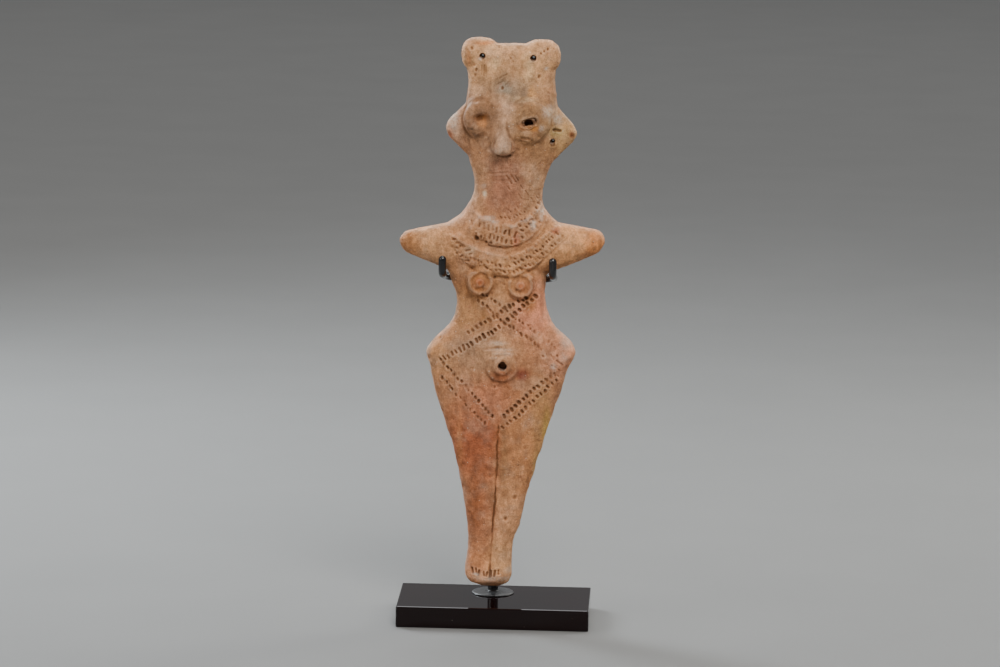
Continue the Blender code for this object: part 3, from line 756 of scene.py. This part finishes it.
def figure_places(co):
    """Right, up and forward of every point in the figurine's own frame, in millimetres."""
    return co[:, 0] / MM, co[:, 2] / MM - SOLES, -co[:, 1] / MM + MID_PLANE


def add_object(name, data):
    made = bpy.data.objects.new(name, data)
    bpy.context.scene.collection.objects.link(made)
    return made


def remesh(piece, size):
    """Rebuild a piece's skin on an even grid."""
    modifier = piece.modifiers.new("even grid", "REMESH")
    modifier.mode = "VOXEL"
    modifier.voxel_size = size


def thin_out(piece, share):
    piece.modifiers.new("thin out", "DECIMATE").ratio = share


def apply_modifiers(piece):
    """Bake the modifiers of a piece into its mesh."""
    graph = bpy.context.evaluated_depsgraph_get()
    baked = bpy.data.meshes.new_from_object(piece.evaluated_get(graph))
    piece.modifiers.clear()
    old = piece.data
    piece.data = baked
    bpy.data.meshes.remove(old)


def near_holes(right, up, holes):
    """1 away from the given holes, falling to 0 at their walls."""
    free = np.ones(len(right))
    for x, y, radius in holes:
        free = free * smoothstep(radius + 0.15, radius + 0.9, np.hypot(right - x, up - y))
    return free


def pinch_holes(co):
    """Narrow each pierced hole towards its middle, as when it is drilled from both sides."""
    right, up, forward = figure_places(co)
    for x, y, radius in THROUGH_HOLES:
        dx, dy = right - x, up - y
        away = np.maximum(np.hypot(dx, dy), 1e-6)
        wall = 1 - smoothstep(radius + 0.1, radius + 0.6, away)
        inward = HOLE_WAIST * wall * np.clip(1 - (forward / 3.2) ** 2, 0, 1)
        co[:, 0] -= dx / away * inward * MM
        co[:, 2] -= dy / away * inward * MM
    return co


def slope_eye_pit(co):
    """Let the floor of the right eye's pit slope up to its lower lid, so that the opening is a slit."""
    right, up, forward = figure_places(co)
    x, y, radius = PITS[0]
    away = np.hypot(right - x, up - y)
    rim = (away > radius + 0.3) & (away < radius + 1.0) & (forward > 0)
    level = np.median(forward[rim])
    near = np.flatnonzero((away < radius + 0.3) & (forward > 0))
    leaning = up[near] - y - EYE_SLANT * (right[near] - x)
    allowed = EYE_FLOOR + EYE_SLIT * smoothstep(-0.7, 0.35, leaning)
    co[near, 1] -= np.maximum(level - allowed - forward[near], 0) * MM
    return co


def soft_zones(right, up):
    """1 round the eyes, along the groove and at the toes, where the facets are evened out most."""
    soft = np.zeros(len(right))
    for x, y, radius in (LEFT_EYE, RIGHT_EYE):
        away = np.hypot(right - x, up - y)
        soft = np.maximum(soft, 1 - smoothstep(radius + 0.8, radius + 2.6, away))
    legs = smoothstep(51.5, 49.0, up) * (1 - smoothstep(1.2, 2.4, np.abs(right - groove_middle(up))))
    toes = smoothstep(8.0, 6.5, up) * smoothstep(1.5, 2.8, up)
    return np.maximum(np.maximum(soft, legs), toes)


def sculpt(node, name):
    """A fine mesh of the figurine with its modelled relief, strokes and worn skin."""
    piece = add_object(name, node.data.copy())
    remesh(piece, GRID)
    apply_modifiers(piece)
    mesh = piece.data
    low, high = (np.array(corner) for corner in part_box(node.name))
    edges = edge_array(mesh)
    co = read_vectors(mesh.vertices, "co")
    right, up, forward = figure_places(co)
    free = near_holes(right, up, THROUGH_HOLES + PITS)
    co = smooth(co, edges, SMOOTHING_ROUNDS, free)
    soft = 0.9 * soft_zones(right, up) * free * (forward > 2)
    co = smooth(co, edges, EYE_ROUNDS, soft, keep_volume=False)
    co = slope_eye_pit(pinch_holes(co))
    write_points(mesh, co)
    normals = read_vectors(mesh.vertex_normals, "vector")
    right, up, forward = figure_places(co)
    free = near_holes(right, up, THROUGH_HOLES)
    front = smoothstep(0.15, 0.55, -normals[:, 1])
    depth, lip, _, _ = strokes(right, up)
    height = modelled_relief(right, up) + lip - depth
    height -= GROOVE_VALLEY * groove_shoulder(right, up)
    height -= GROOVE_DEPTH * groove(right, up) * (0.6 + 0.4 * noise(co / MM, 3.0, 8.0))
    height = front * height * free + worn_skin(co / MM) * (0.35 + 0.65 * free)
    edges_of_legs = (1 - smoothstep(0.3, 0.8, np.abs(normals[:, 1]))) * smoothstep(64.0, 54.0, up)
    height += edges_of_legs * np.where(right > 0, LEG_WEAR[1], LEG_WEAR[0]) * noise(co / MM, 4.2, 12.2)
    co = co + normals * (height * MM)[:, None]
    co = np.clip(co, low, high)
    write_points(mesh, co)
    thin_out(piece, min(1.0, KEPT_TRIANGLES / (2 * len(mesh.polygons))))
    apply_modifiers(piece)
    piece.data.shade_smooth()
    return piece


def hollows(co, normals, edges):
    """How far each point lies below its neighbours, as a share of their distance."""
    count = neighbour_count(edges, len(co))
    mean = neighbour_mean(co, edges, count)
    span = np.linalg.norm(co[edges[:, 0]] - co[edges[:, 1]], axis=1)
    reach = np.bincount(edges.ravel(), np.repeat(span, 2), len(co)) / count
    hollow = ((mean - co) * normals).sum(axis=1) / reach
    for _ in range(2):
        spread = np.bincount(edges[:, 0], hollow[edges[:, 1]], len(co))
        spread += np.bincount(edges[:, 1], hollow[edges[:, 0]], len(co))
        hollow = 0.5 * hollow + 0.5 * spread / count
    return hollow


def wobble(points, first, second):
    """Uneven shifts in millimetres that break up the outlines of the soft spots."""
    return 1.6 * noise(points, 3.4, first) + 0.7 * noise(points, 1.4, second)


def clay_tint(front, nearness):
    """The regional colour of the clay in linear light, with its stains."""
    base = deepened(CLAY_BASE)
    total = np.full(len(front), BASE_WEIGHT)
    tint = base * total[:, None]
    for place, reach, shade, weight in PATCHES:
        share = PATCH_STRENGTH * weight * np.exp(-1.2 * nearness(place, reach))
        tint += share[:, None] * deepened(shade)
        total += share
    tint = tint / total[:, None]
    for place, reach, shade in STAINS:
        share = np.exp(-nearness(place, reach) ** 1.5) * front
        tint += STAIN_STRENGTH * share[:, None] * (deepened(shade) - tint)
    return base + (tint - base) * (0.35 + 0.65 * front)[:, None]


def soil_and_shade_amount(right, up, points, normals, hollow):
    """How much dark soil and painted shade lies in the strokes, hollows, grooves, rings and holes."""
    _, _, shade, halo = strokes(right, up)
    facing = smoothstep(0.1, 0.5, -normals[:, 1])
    # Soil with painted shade in the strokes, and painted shade with soil in every hollow
    soil = facing * shade + 0.8 * smoothstep(0.04, 0.2, hollow)
    broken = smoothstep(-0.5, 0.5, noise(points * (1.0, 1.0, 0.4), 2.2, 3.3))
    # Painted shade with soil along the groove between the legs and in the valley round it
    soil += facing * groove(right, up) * (0.35 + 0.65 * broken) * (1.0 - 0.4 * smoothstep(30.0, 44.0, up))
    soil += 0.2 * facing * groove_shoulder(right, up) * broken
    # A faint halo of soil and painted shade round the strokes
    soil += facing * halo
    # Painted shadow along the eye discs: at their left and upper edges and inside their upper rims
    for x, y, radius in (LEFT_EYE, RIGHT_EYE):
        away = np.hypot(right - x, EYE_SQUASH * (up - y))
        outer = smoothstep(2.0, -3.0, right - x) + 0.8 * smoothstep(1.5, 4.5, up - y)
        ring = bell(away - 1.06 * radius, 0.5)
        inner = smoothstep(0.5, 3.5, up - y) * bell(away - 0.9 * radius, 0.4)
        soil += facing * broken * (0.62 * np.minimum(outer, 1.0) * ring + 0.34 * inner)
    # Painted shade on the walls of the holes and pits; in the right eye's pit only its upper wall, which
    # lies in shadow
    for x, y, radius in THROUGH_HOLES + PITS:
        wall = 1 - smoothstep(radius - 0.1, radius + 0.3, np.hypot(right - x, up - y))
        if (x, y, radius) == PITS[0]:
            wall = wall * smoothstep(-0.8, 0.2, up - y)
        soil += 0.9 * wall * (1 - smoothstep(0.5, 0.9, np.abs(normals[:, 1])))
    return soil


def chalk_and_highlight_amount(right, up, points, normals, front, nearness):
    """How much pale deposit lies in its spots and along the choker's ridge, and how much deposit with
    painted top light lies on upward sides.
    """
    chalk = np.zeros(len(right))
    for place, reach, strength in CHALK:
        chalk = np.maximum(chalk, strength * np.exp(-(nearness(place, reach) ** 1.5)))
    ridge = distance_to_path(right, up, CHOKER_RIDGE)
    patchy = smoothstep(-0.4, 0.5, noise(points, 1.6, 8.8))
    chalk = np.maximum(chalk, RIDGE_CHALK * patchy * bell(ridge, 0.45))
    chalk = chalk * (0.4 + 0.6 * front)
    # Upward-facing sides paler: settled deposit and painted top light
    sides = 1 - smoothstep(0.25, 0.7, np.abs(normals[:, 1]))
    settled_and_lit = sides * smoothstep(-0.2, 0.6, normals[:, 2])
    return chalk + 0.3 * settled_and_lit * (0.6 + 0.4 * noise(points, 2.0, 2.9))


def paint(piece):
    """Store the clay's regional colour, its soil and painted shade, its rubbed and lit lumps and its chalky
    deposits with painted top light on the mesh.
    """
    mesh = piece.data
    co = read_vectors(mesh.vertices, "co")
    normals = read_vectors(mesh.vertex_normals, "vector")
    right, up, _ = figure_places(co)
    points = co / MM
    wobble_x = wobble(points, 1.9, 6.3)
    wobble_y = wobble(points, 7.7, 3.1)

    def nearness(place, reach):
        x, y = place
        loose = min(1.0, min(reach) / 5.0)
        across = (right + loose * wobble_x - x) / reach[0]
        upward = (up + loose * wobble_y - y) / reach[1]
        return across**2 + upward**2

    front = smoothstep(-0.35, 0.25, -normals[:, 1])
    tint = clay_tint(front, nearness)
    hollow = hollows(co, normals, edge_array(mesh))
    soil = soil_and_shade_amount(right, up, points, normals, hollow)
    # Paler on raised lumps: rubbed wear and painted highlight
    bare = smoothstep(0.02, 0.12, -hollow)
    chalk = chalk_and_highlight_amount(right, up, points, normals, front, nearness)
    for label, values in (("soil", soil), ("bare", bare), ("chalk", chalk)):
        layer = mesh.attributes.new(label, "FLOAT", "POINT")
        layer.data.foreach_set("value", np.clip(values, 0, LAYER_LIMIT))
    layer = mesh.attributes.new("clay", "FLOAT_COLOR", "POINT")
    layer.data.foreach_set("color", np.column_stack([tint, np.ones(len(co))]).ravel())


class Nodes:
    """Short calls for building a material's node tree."""

    def __init__(self, name):
        self.material = bpy.data.materials.new(name)
        self.material.use_nodes = True
        self.tree = self.material.node_tree
        self.shader = self.tree.nodes["Principled BSDF"]
        inputs = {0: self.node("ShaderNodeTexCoord", "Object", {}), "Scale": 1.0 / MM}
        self.millimetres = self.node("ShaderNodeVectorMath", 0, inputs, operation="SCALE")

    def put(self, socket, value):
        """Set a number, a vector or a colour on a socket, or link a result to it."""
        if isinstance(value, (int, float)):
            socket.default_value = value
        elif isinstance(value, tuple):
            socket.default_value = value if len(socket.default_value) == len(value) else (*value, 1.0)
        else:
            self.tree.links.new(value, socket)

    def node(self, kind, output, inputs, **settings):
        """Add a node with its settings and inputs, and give one of its outputs."""
        made = self.tree.nodes.new(kind)
        for key, value in settings.items():
            setattr(made, key, value)
        for socket, value in inputs.items():
            self.put(made.inputs[socket], value)
        return made.outputs[output]

    def feed(self, socket, value):
        """Set a number on one of the shader's own sockets, or link a result to it."""
        self.put(self.shader.inputs[socket], value)

    def attribute(self, name, output="Fac"):
        return self.node("ShaderNodeAttribute", output, {}, attribute_name=name)

    def stretched(self, factors):
        return self.node("ShaderNodeVectorMath", 0, {0: self.millimetres, 1: factors}, operation="MULTIPLY")

    def noise(self, per_mm, detail=3.0, roughness=0.55, vector=None):
        inputs = {"Scale": per_mm, "Detail": detail, "Roughness": roughness}
        inputs["Vector"] = vector or self.millimetres
        return self.node("ShaderNodeTexNoise", "Fac", inputs)

    def cells(self, per_mm):
        return self.node("ShaderNodeTexVoronoi", "Distance", {"Scale": per_mm, "Vector": self.millimetres})

    def ramp(self, value, low, high, out_low=0.0, out_high=1.0):
        inputs = {"From Min": low, "From Max": high, "To Min": out_low, "To Max": out_high, "Value": value}
        return self.node("ShaderNodeMapRange", "Result", inputs, interpolation_type="SMOOTHSTEP")

    def math(self, operation, first, second):
        return self.node("ShaderNodeMath", 0, {0: first, 1: second}, operation=operation)

    def times(self, first, second):
        return self.math("MULTIPLY", first, second)

    def mix(self, share, first, second, blend="MIX"):
        inputs = {0: share, 6: first, 7: second}
        return self.node("ShaderNodeMix", 2, inputs, data_type="RGBA", blend_type=blend, clamp_factor=True)

    def shade(self, colour, layer):
        return self.mix(1.0, colour, layer, "MULTIPLY")

    def bump(self, height, distance, strength, below=None):
        inputs = {"Distance": distance, "Strength": strength, "Height": height}
        if below:
            inputs["Normal"] = below
        return self.node("ShaderNodeBump", "Normal", inputs)


def clay_material():
    """Coarse fired clay: mottled, speckled, with soil and painted shade in its hollows, painted highlights
    on its lumps and pale deposits.
    """
    n = Nodes("terracotta clay")
    clay = n.attribute("clay", "Color")
    soil = n.attribute("soil")
    bare = n.attribute("bare")
    chalk = n.attribute("chalk")
    broad = n.noise(0.16, 4.0, 0.6)
    medium = n.noise(0.75, 4.0, 0.65)
    fine = n.noise(2.6, 3.0, 0.7)
    dark_mottle = n.ramp(medium, 0.4, 0.7, 0.0, 0.45)
    colour = n.mix(dark_mottle, clay, DARK_MOTTLE, "MULTIPLY")
    light_mottle = n.ramp(broad, 0.48, 0.72, 0.0, 0.22)
    colour = n.mix(light_mottle, colour, PALE_MOTTLE)
    rose = n.ramp(n.noise(0.33, 3.0, 0.6), 0.56, 0.74, 0.0, 0.35)
    colour = n.mix(rose, colour, ROSE)
    blotches = n.ramp(n.noise(0.36, 6.0, 0.75), 0.33, 0.67, 0.76, 1.18)
    colour = n.shade(colour, blotches)
    grain = n.ramp(fine, 0.28, 0.72, 0.8, 1.16)
    colour = n.shade(colour, grain)
    spots = n.cells(1.15)
    dark_specks = n.times(n.ramp(spots, 0.1, 0.24, 1.0, 0.0), n.ramp(n.noise(0.9), 0.5, 0.62))
    colour = n.mix(n.times(dark_specks, 0.6), colour, DARK_SPECK)
    spots = n.cells(0.8)
    pale_specks = n.times(n.ramp(spots, 0.08, 0.2, 1.0, 0.0), n.ramp(n.noise(0.7), 0.54, 0.64))
    colour = n.mix(n.times(pale_specks, 0.55), colour, PALE_SPECK)
    # Rubbed wear and painted highlight on the raised lumps
    colour = n.mix(n.times(bare, 0.16), colour, RUBBED_AND_LIT_CLAY)
    patchy = n.ramp(n.noise(1.3), 0.25, 0.6, 0.6, 0.9)
    # Soil and painted shade darken the strokes, hollows, grooves and holes
    soiled_and_shaded = n.times(n.ramp(soil, 0.05, 0.9, 0.0, 1.0), patchy)
    colour = n.mix(soiled_and_shaded, colour, SOIL_AND_SHADE)
    streaks = n.ramp(n.noise(0.55, 4.0, 0.7, n.stretched((1.0, 1.0, 0.35))), 0.36, 0.66, 0.82, 1.12)
    colour = n.shade(colour, streaks)
    # Chalky crust, and painted top light on upward sides
    crust_and_highlight = n.times(chalk, n.ramp(n.noise(1.7, 5.0, 0.7), 0.38, 0.58, 0.25, 1.0))
    colour = n.mix(crust_and_highlight, colour, CRUST_AND_HIGHLIGHT)
    n.feed("Base Color", colour)
    n.feed("Roughness", n.ramp(medium, 0.3, 0.7, 0.72, 0.92))
    n.feed("Specular IOR Level", 0.32)
    sand = n.bump(n.noise(3.4, 4.0, 0.7), 0.00022, 0.9)
    coarse = n.bump(n.noise(1.3, 4.0, 0.65), 0.0004, 0.6, sand)
    n.feed("Normal", coarse)
    return n.material


def post_material():
    """Black paint on a brazed metal rod, a little uneven and rubbed; the collar is painted lighter grey as
    a reflection.
    """
    n = Nodes("black painted metal")
    brushed = n.noise(0.8, 4.0, 0.6, n.stretched((1.0, 1.0, 0.25)))
    base = n.mix(n.ramp(brushed, 0.35, 0.7), PAINT_DARK, PAINT_LIGHT)
    rubbed = n.ramp(n.noise(1.6, 5.0, 0.7), 0.66, 0.74, 0.0, 0.5)
    painted = n.mix(rubbed, base, PAINT_RUBBED)
    height = n.node("ShaderNodeSeparateXYZ", "Z", {0: n.millimetres})
    gloss = n.ramp(height, 7.4, 8.2, 2.2, 1.0)
    # Lighter grey on the collar: painted reflection
    collar_sheen = n.ramp(height, 6.9, 7.6, 0.9, 0.0)
    n.feed("Base Color", n.mix(collar_sheen, painted, COLLAR_SHEEN))
    n.feed("Roughness", n.times(gloss, n.ramp(brushed, 0.3, 0.7, 0.12, 0.24)))
    n.feed("Specular IOR Level", 0.55)
    n.feed("Normal", n.bump(n.noise(1.4, 3.0, 0.6), 0.0001, 0.35))
    return n.material


def gloss_material():
    """Polished black acrylic with a little dust and faint wiping marks."""
    n = Nodes("polished black acrylic")
    spots = n.cells(0.55)
    dust = n.times(n.ramp(spots, 0.035, 0.085, 1.0, 0.0), n.ramp(n.noise(0.5), 0.52, 0.6))
    depth = n.mix(n.noise(0.08, 2.0, 0.5), ACRYLIC_DARK, ACRYLIC_LIGHT)
    n.feed("Base Color", n.mix(n.times(dust, 0.5), depth, DUST))
    wiped = n.noise(0.35, 5.0, 0.65, n.stretched((0.25, 1.0, 1.0)))
    haze = n.ramp(wiped, 0.4, 0.75, 0.035, 0.11)
    n.feed("Roughness", n.math("ADD", haze, n.times(dust, 0.4)))
    n.feed("IOR", 1.36)
    n.feed("Normal", n.bump(n.noise(0.12, 2.0, 0.5), 0.00005, 0.15))
    return n.material


def loft(bm, rings):
    """Join rings of points into a closed skin."""
    verts = [[bm.verts.new(Vector(point) * MM) for point in ring] for ring in rings]
    count = len(rings[0])
    for lower, upper in zip(verts, verts[1:]):
        for i in range(count):
            j = (i + 1) % count
            bm.faces.new((lower[i], lower[j], upper[j], upper[i]))
    bm.faces.new(list(reversed(verts[0])))
    bm.faces.new(verts[-1])


def add_turned(bm, profile, middle):
    """A shape turned about an upright axis from (radius, height) points."""
    x, y = middle
    rings = []
    for radius, height in profile:
        ring = []
        for i in range(TURNED_SIDES):
            angle = 2 * math.pi * i / TURNED_SIDES
            ring.append((x + radius * math.cos(angle), y + radius * math.sin(angle), height))
        rings.append(ring)
    loft(bm, rings)


def rounded_route(corners, radius):
    """A route through the corners that bends round each of them."""
    route = [Vector(corners[0])]
    for before, corner, after in zip(corners, corners[1:], corners[2:]):
        before, corner, after = Vector(before), Vector(corner), Vector(after)
        enter = corner + (before - corner).normalized() * radius
        leave = corner + (after - corner).normalized() * radius
        for i in range(BEND_STEPS + 1):
            t = i / BEND_STEPS
            route.append(enter * (1 - t) ** 2 + corner * 2 * t * (1 - t) + leave * t**2)
    route.append(Vector(corners[-1]))
    return route


def add_rod(bm, route, radius):
    """A round rod along a route, with rounded ends."""
    first = (route[1] - route[0]).normalized() * radius
    final = (route[-2] - route[-1]).normalized() * radius
    cap = [(1 - math.cos(a), math.sin(a)) for a in np.linspace(0.12, math.pi / 2, 7)]
    stops = [(route[0] + first * inward, width) for inward, width in cap]
    stops += [(point, 1.0) for point in route[1:-1]]
    stops += [(route[-1] + final * inward, width) for inward, width in reversed(cap)]
    normal = Vector((1.0, 0.0, 0.0))
    rings = []
    for i, (centre, width) in enumerate(stops):
        ahead, behind = stops[min(i + 1, len(stops) - 1)][0], stops[max(i - 1, 0)][0]
        tangent = (ahead - behind).normalized()
        normal = (normal - tangent * normal.dot(tangent)).normalized()
        other = tangent.cross(normal)
        ring = []
        for k in range(ROD_SIDES):
            angle = 2 * math.pi * k / ROD_SIDES
            ring.append(centre + radius * width * (normal * math.cos(angle) + other * math.sin(angle)))
        rings.append(ring)
    loft(bm, rings)


def post_profile():
    """The post with its collar as (radius, height) points from the socket to the round top."""
    bottom = BLOCK_TOP - SOCKET_DEPTH
    rim = BLOCK_TOP + COLLAR_LIFT
    profile = [(0.8 * POST_RADIUS, bottom), (POST_RADIUS, bottom + SOCKET_TAPER), (POST_RADIUS, rim)]
    profile += [(COLLAR_RADIUS - COLLAR_BEVEL, rim), (COLLAR_RADIUS, rim + 0.1)]
    profile += [(COLLAR_RADIUS, rim + COLLAR_EDGE)]
    for i in range(1, DOME_STEPS + 1):
        share = 1 - i / DOME_STEPS
        radius = POST_RADIUS + (COLLAR_RADIUS - POST_RADIUS) * share
        profile.append((radius, rim + 0.25 + COLLAR_DOME * math.sqrt(1 - share**2)))
    profile += [(POST_RADIUS, POST_TOP - POST_CAP)]
    for i in range(1, CAP_STEPS):
        angle = math.pi / 2 * i / CAP_STEPS
        profile.append((POST_RADIUS * math.cos(angle), POST_TOP - POST_CAP + POST_CAP * math.sin(angle)))
    return profile


def cradle_corners():
    """The cradle rod's corners from one prong's tip round the back to the other's."""
    x, y = POST_MIDDLE
    front = MID_PLANE - ARMPIT_FRONT - GAP - PRONG_RADIUS
    sides = []
    for side, edge in ARMPITS:
        out = side * (edge + GAP + PRONG_RADIUS)
        root = (out, y - PRONG_SETBACK, CRADLE_SIDE)
        sides.append([root, (out, front, CRADLE_FRONT), (out, front, CRADLE_TIP)])
    return sides[0][::-1] + [(x, y, CRADLE_ROOT)] + sides[1]


def make_post(name):
    """The post with its domed collar, and the cradle rod brazed across its top."""
    bm = bmesh.new()
    add_turned(bm, post_profile(), POST_MIDDLE)
    add_rod(bm, rounded_route(cradle_corners(), PRONG_BEND), PRONG_RADIUS)
    mesh = bpy.data.meshes.new(name)
    bmesh.ops.recalc_face_normals(bm, faces=bm.faces)
    bm.to_mesh(mesh)
    bm.free()
    piece = add_object(name, mesh)
    remesh(piece, POST_GRID)
    soften = piece.modifiers.new("paint over", "SMOOTH")
    soften.factor = 0.5
    soften.iterations = 5
    thin_out(piece, POST_KEPT)
    apply_modifiers(piece)
    piece.data.shade_smooth()
    return piece


def add_light(name, place, aim, size, power, colour):
    data = bpy.data.lights.new(name, "AREA")
    data.shape = "RECTANGLE"
    data.size, data.size_y = size
    data.energy = power
    data.color = colour
    lamp = add_object(name, data)
    lamp.location = place
    lamp.rotation_euler = (Vector(aim) - Vector(place)).to_track_quat("-Z", "Y").to_euler()


def make_camera():
    """The photograph's view: long lens, a little above and to the right of the figurine."""
    pitch, yaw, roll = (math.radians(angle) for angle in (PITCH, YAW, ROLL))
    forward = Vector((-math.sin(yaw) * math.cos(pitch), math.cos(yaw) * math.cos(pitch), -math.sin(pitch)))
    right = Vector((math.cos(yaw), math.sin(yaw), 0.0))
    upward = right.cross(forward)
    across = right * math.cos(roll) + upward * math.sin(roll)
    above = upward * math.cos(roll) - right * math.sin(roll)
    data = bpy.data.cameras.new("camera")
    data.sensor_width = 36.0
    data.lens = LENS
    data.clip_start = 0.05
    data.clip_end = 50.0
    camera = add_object("camera", data)
    turn = Matrix((across, above, -forward)).transposed().to_4x4()
    camera.matrix_world = Matrix.Translation(CAMERA_PLACE) @ turn
    bpy.context.scene.camera = camera


def make_stage():
    """A plain pale floor, a grey surround and soft studio lights."""
    bpy.ops.mesh.primitive_plane_add(size=14.0)
    floor = bpy.context.object
    floor.name = "floor"
    n = Nodes("pale paper")
    tone = n.mix(n.noise(0.02, 2.0, 0.5), FLOOR_DARK, FLOOR_LIGHT)
    n.feed("Base Color", tone)
    n.feed("Roughness", 0.9)
    floor.data.materials.append(n.material)
    world = bpy.data.worlds.new("surround")
    world.use_nodes = True
    world.node_tree.nodes["Background"].inputs["Color"].default_value = SURROUND
    world.node_tree.nodes["Background"].inputs["Strength"].default_value = 1.0
    bpy.context.scene.world = world
    for light in LIGHTS:
        add_light(*light)


make_camera()
make_stage()

figurine = sculpt(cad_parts["goddess_figurine"], "figurine_sculpt")
paint(figurine)
figurine.data.materials.clear()
figurine.data.materials.append(clay_material())
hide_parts("goddess_figurine")
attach(figurine, "root")

post = make_post("post_and_cradle")
post.data.materials.clear()
post.data.materials.append(post_material())
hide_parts("stand_post")
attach(post, "root")

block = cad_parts["stand_base"]
block.material_slots[0].material = gloss_material()
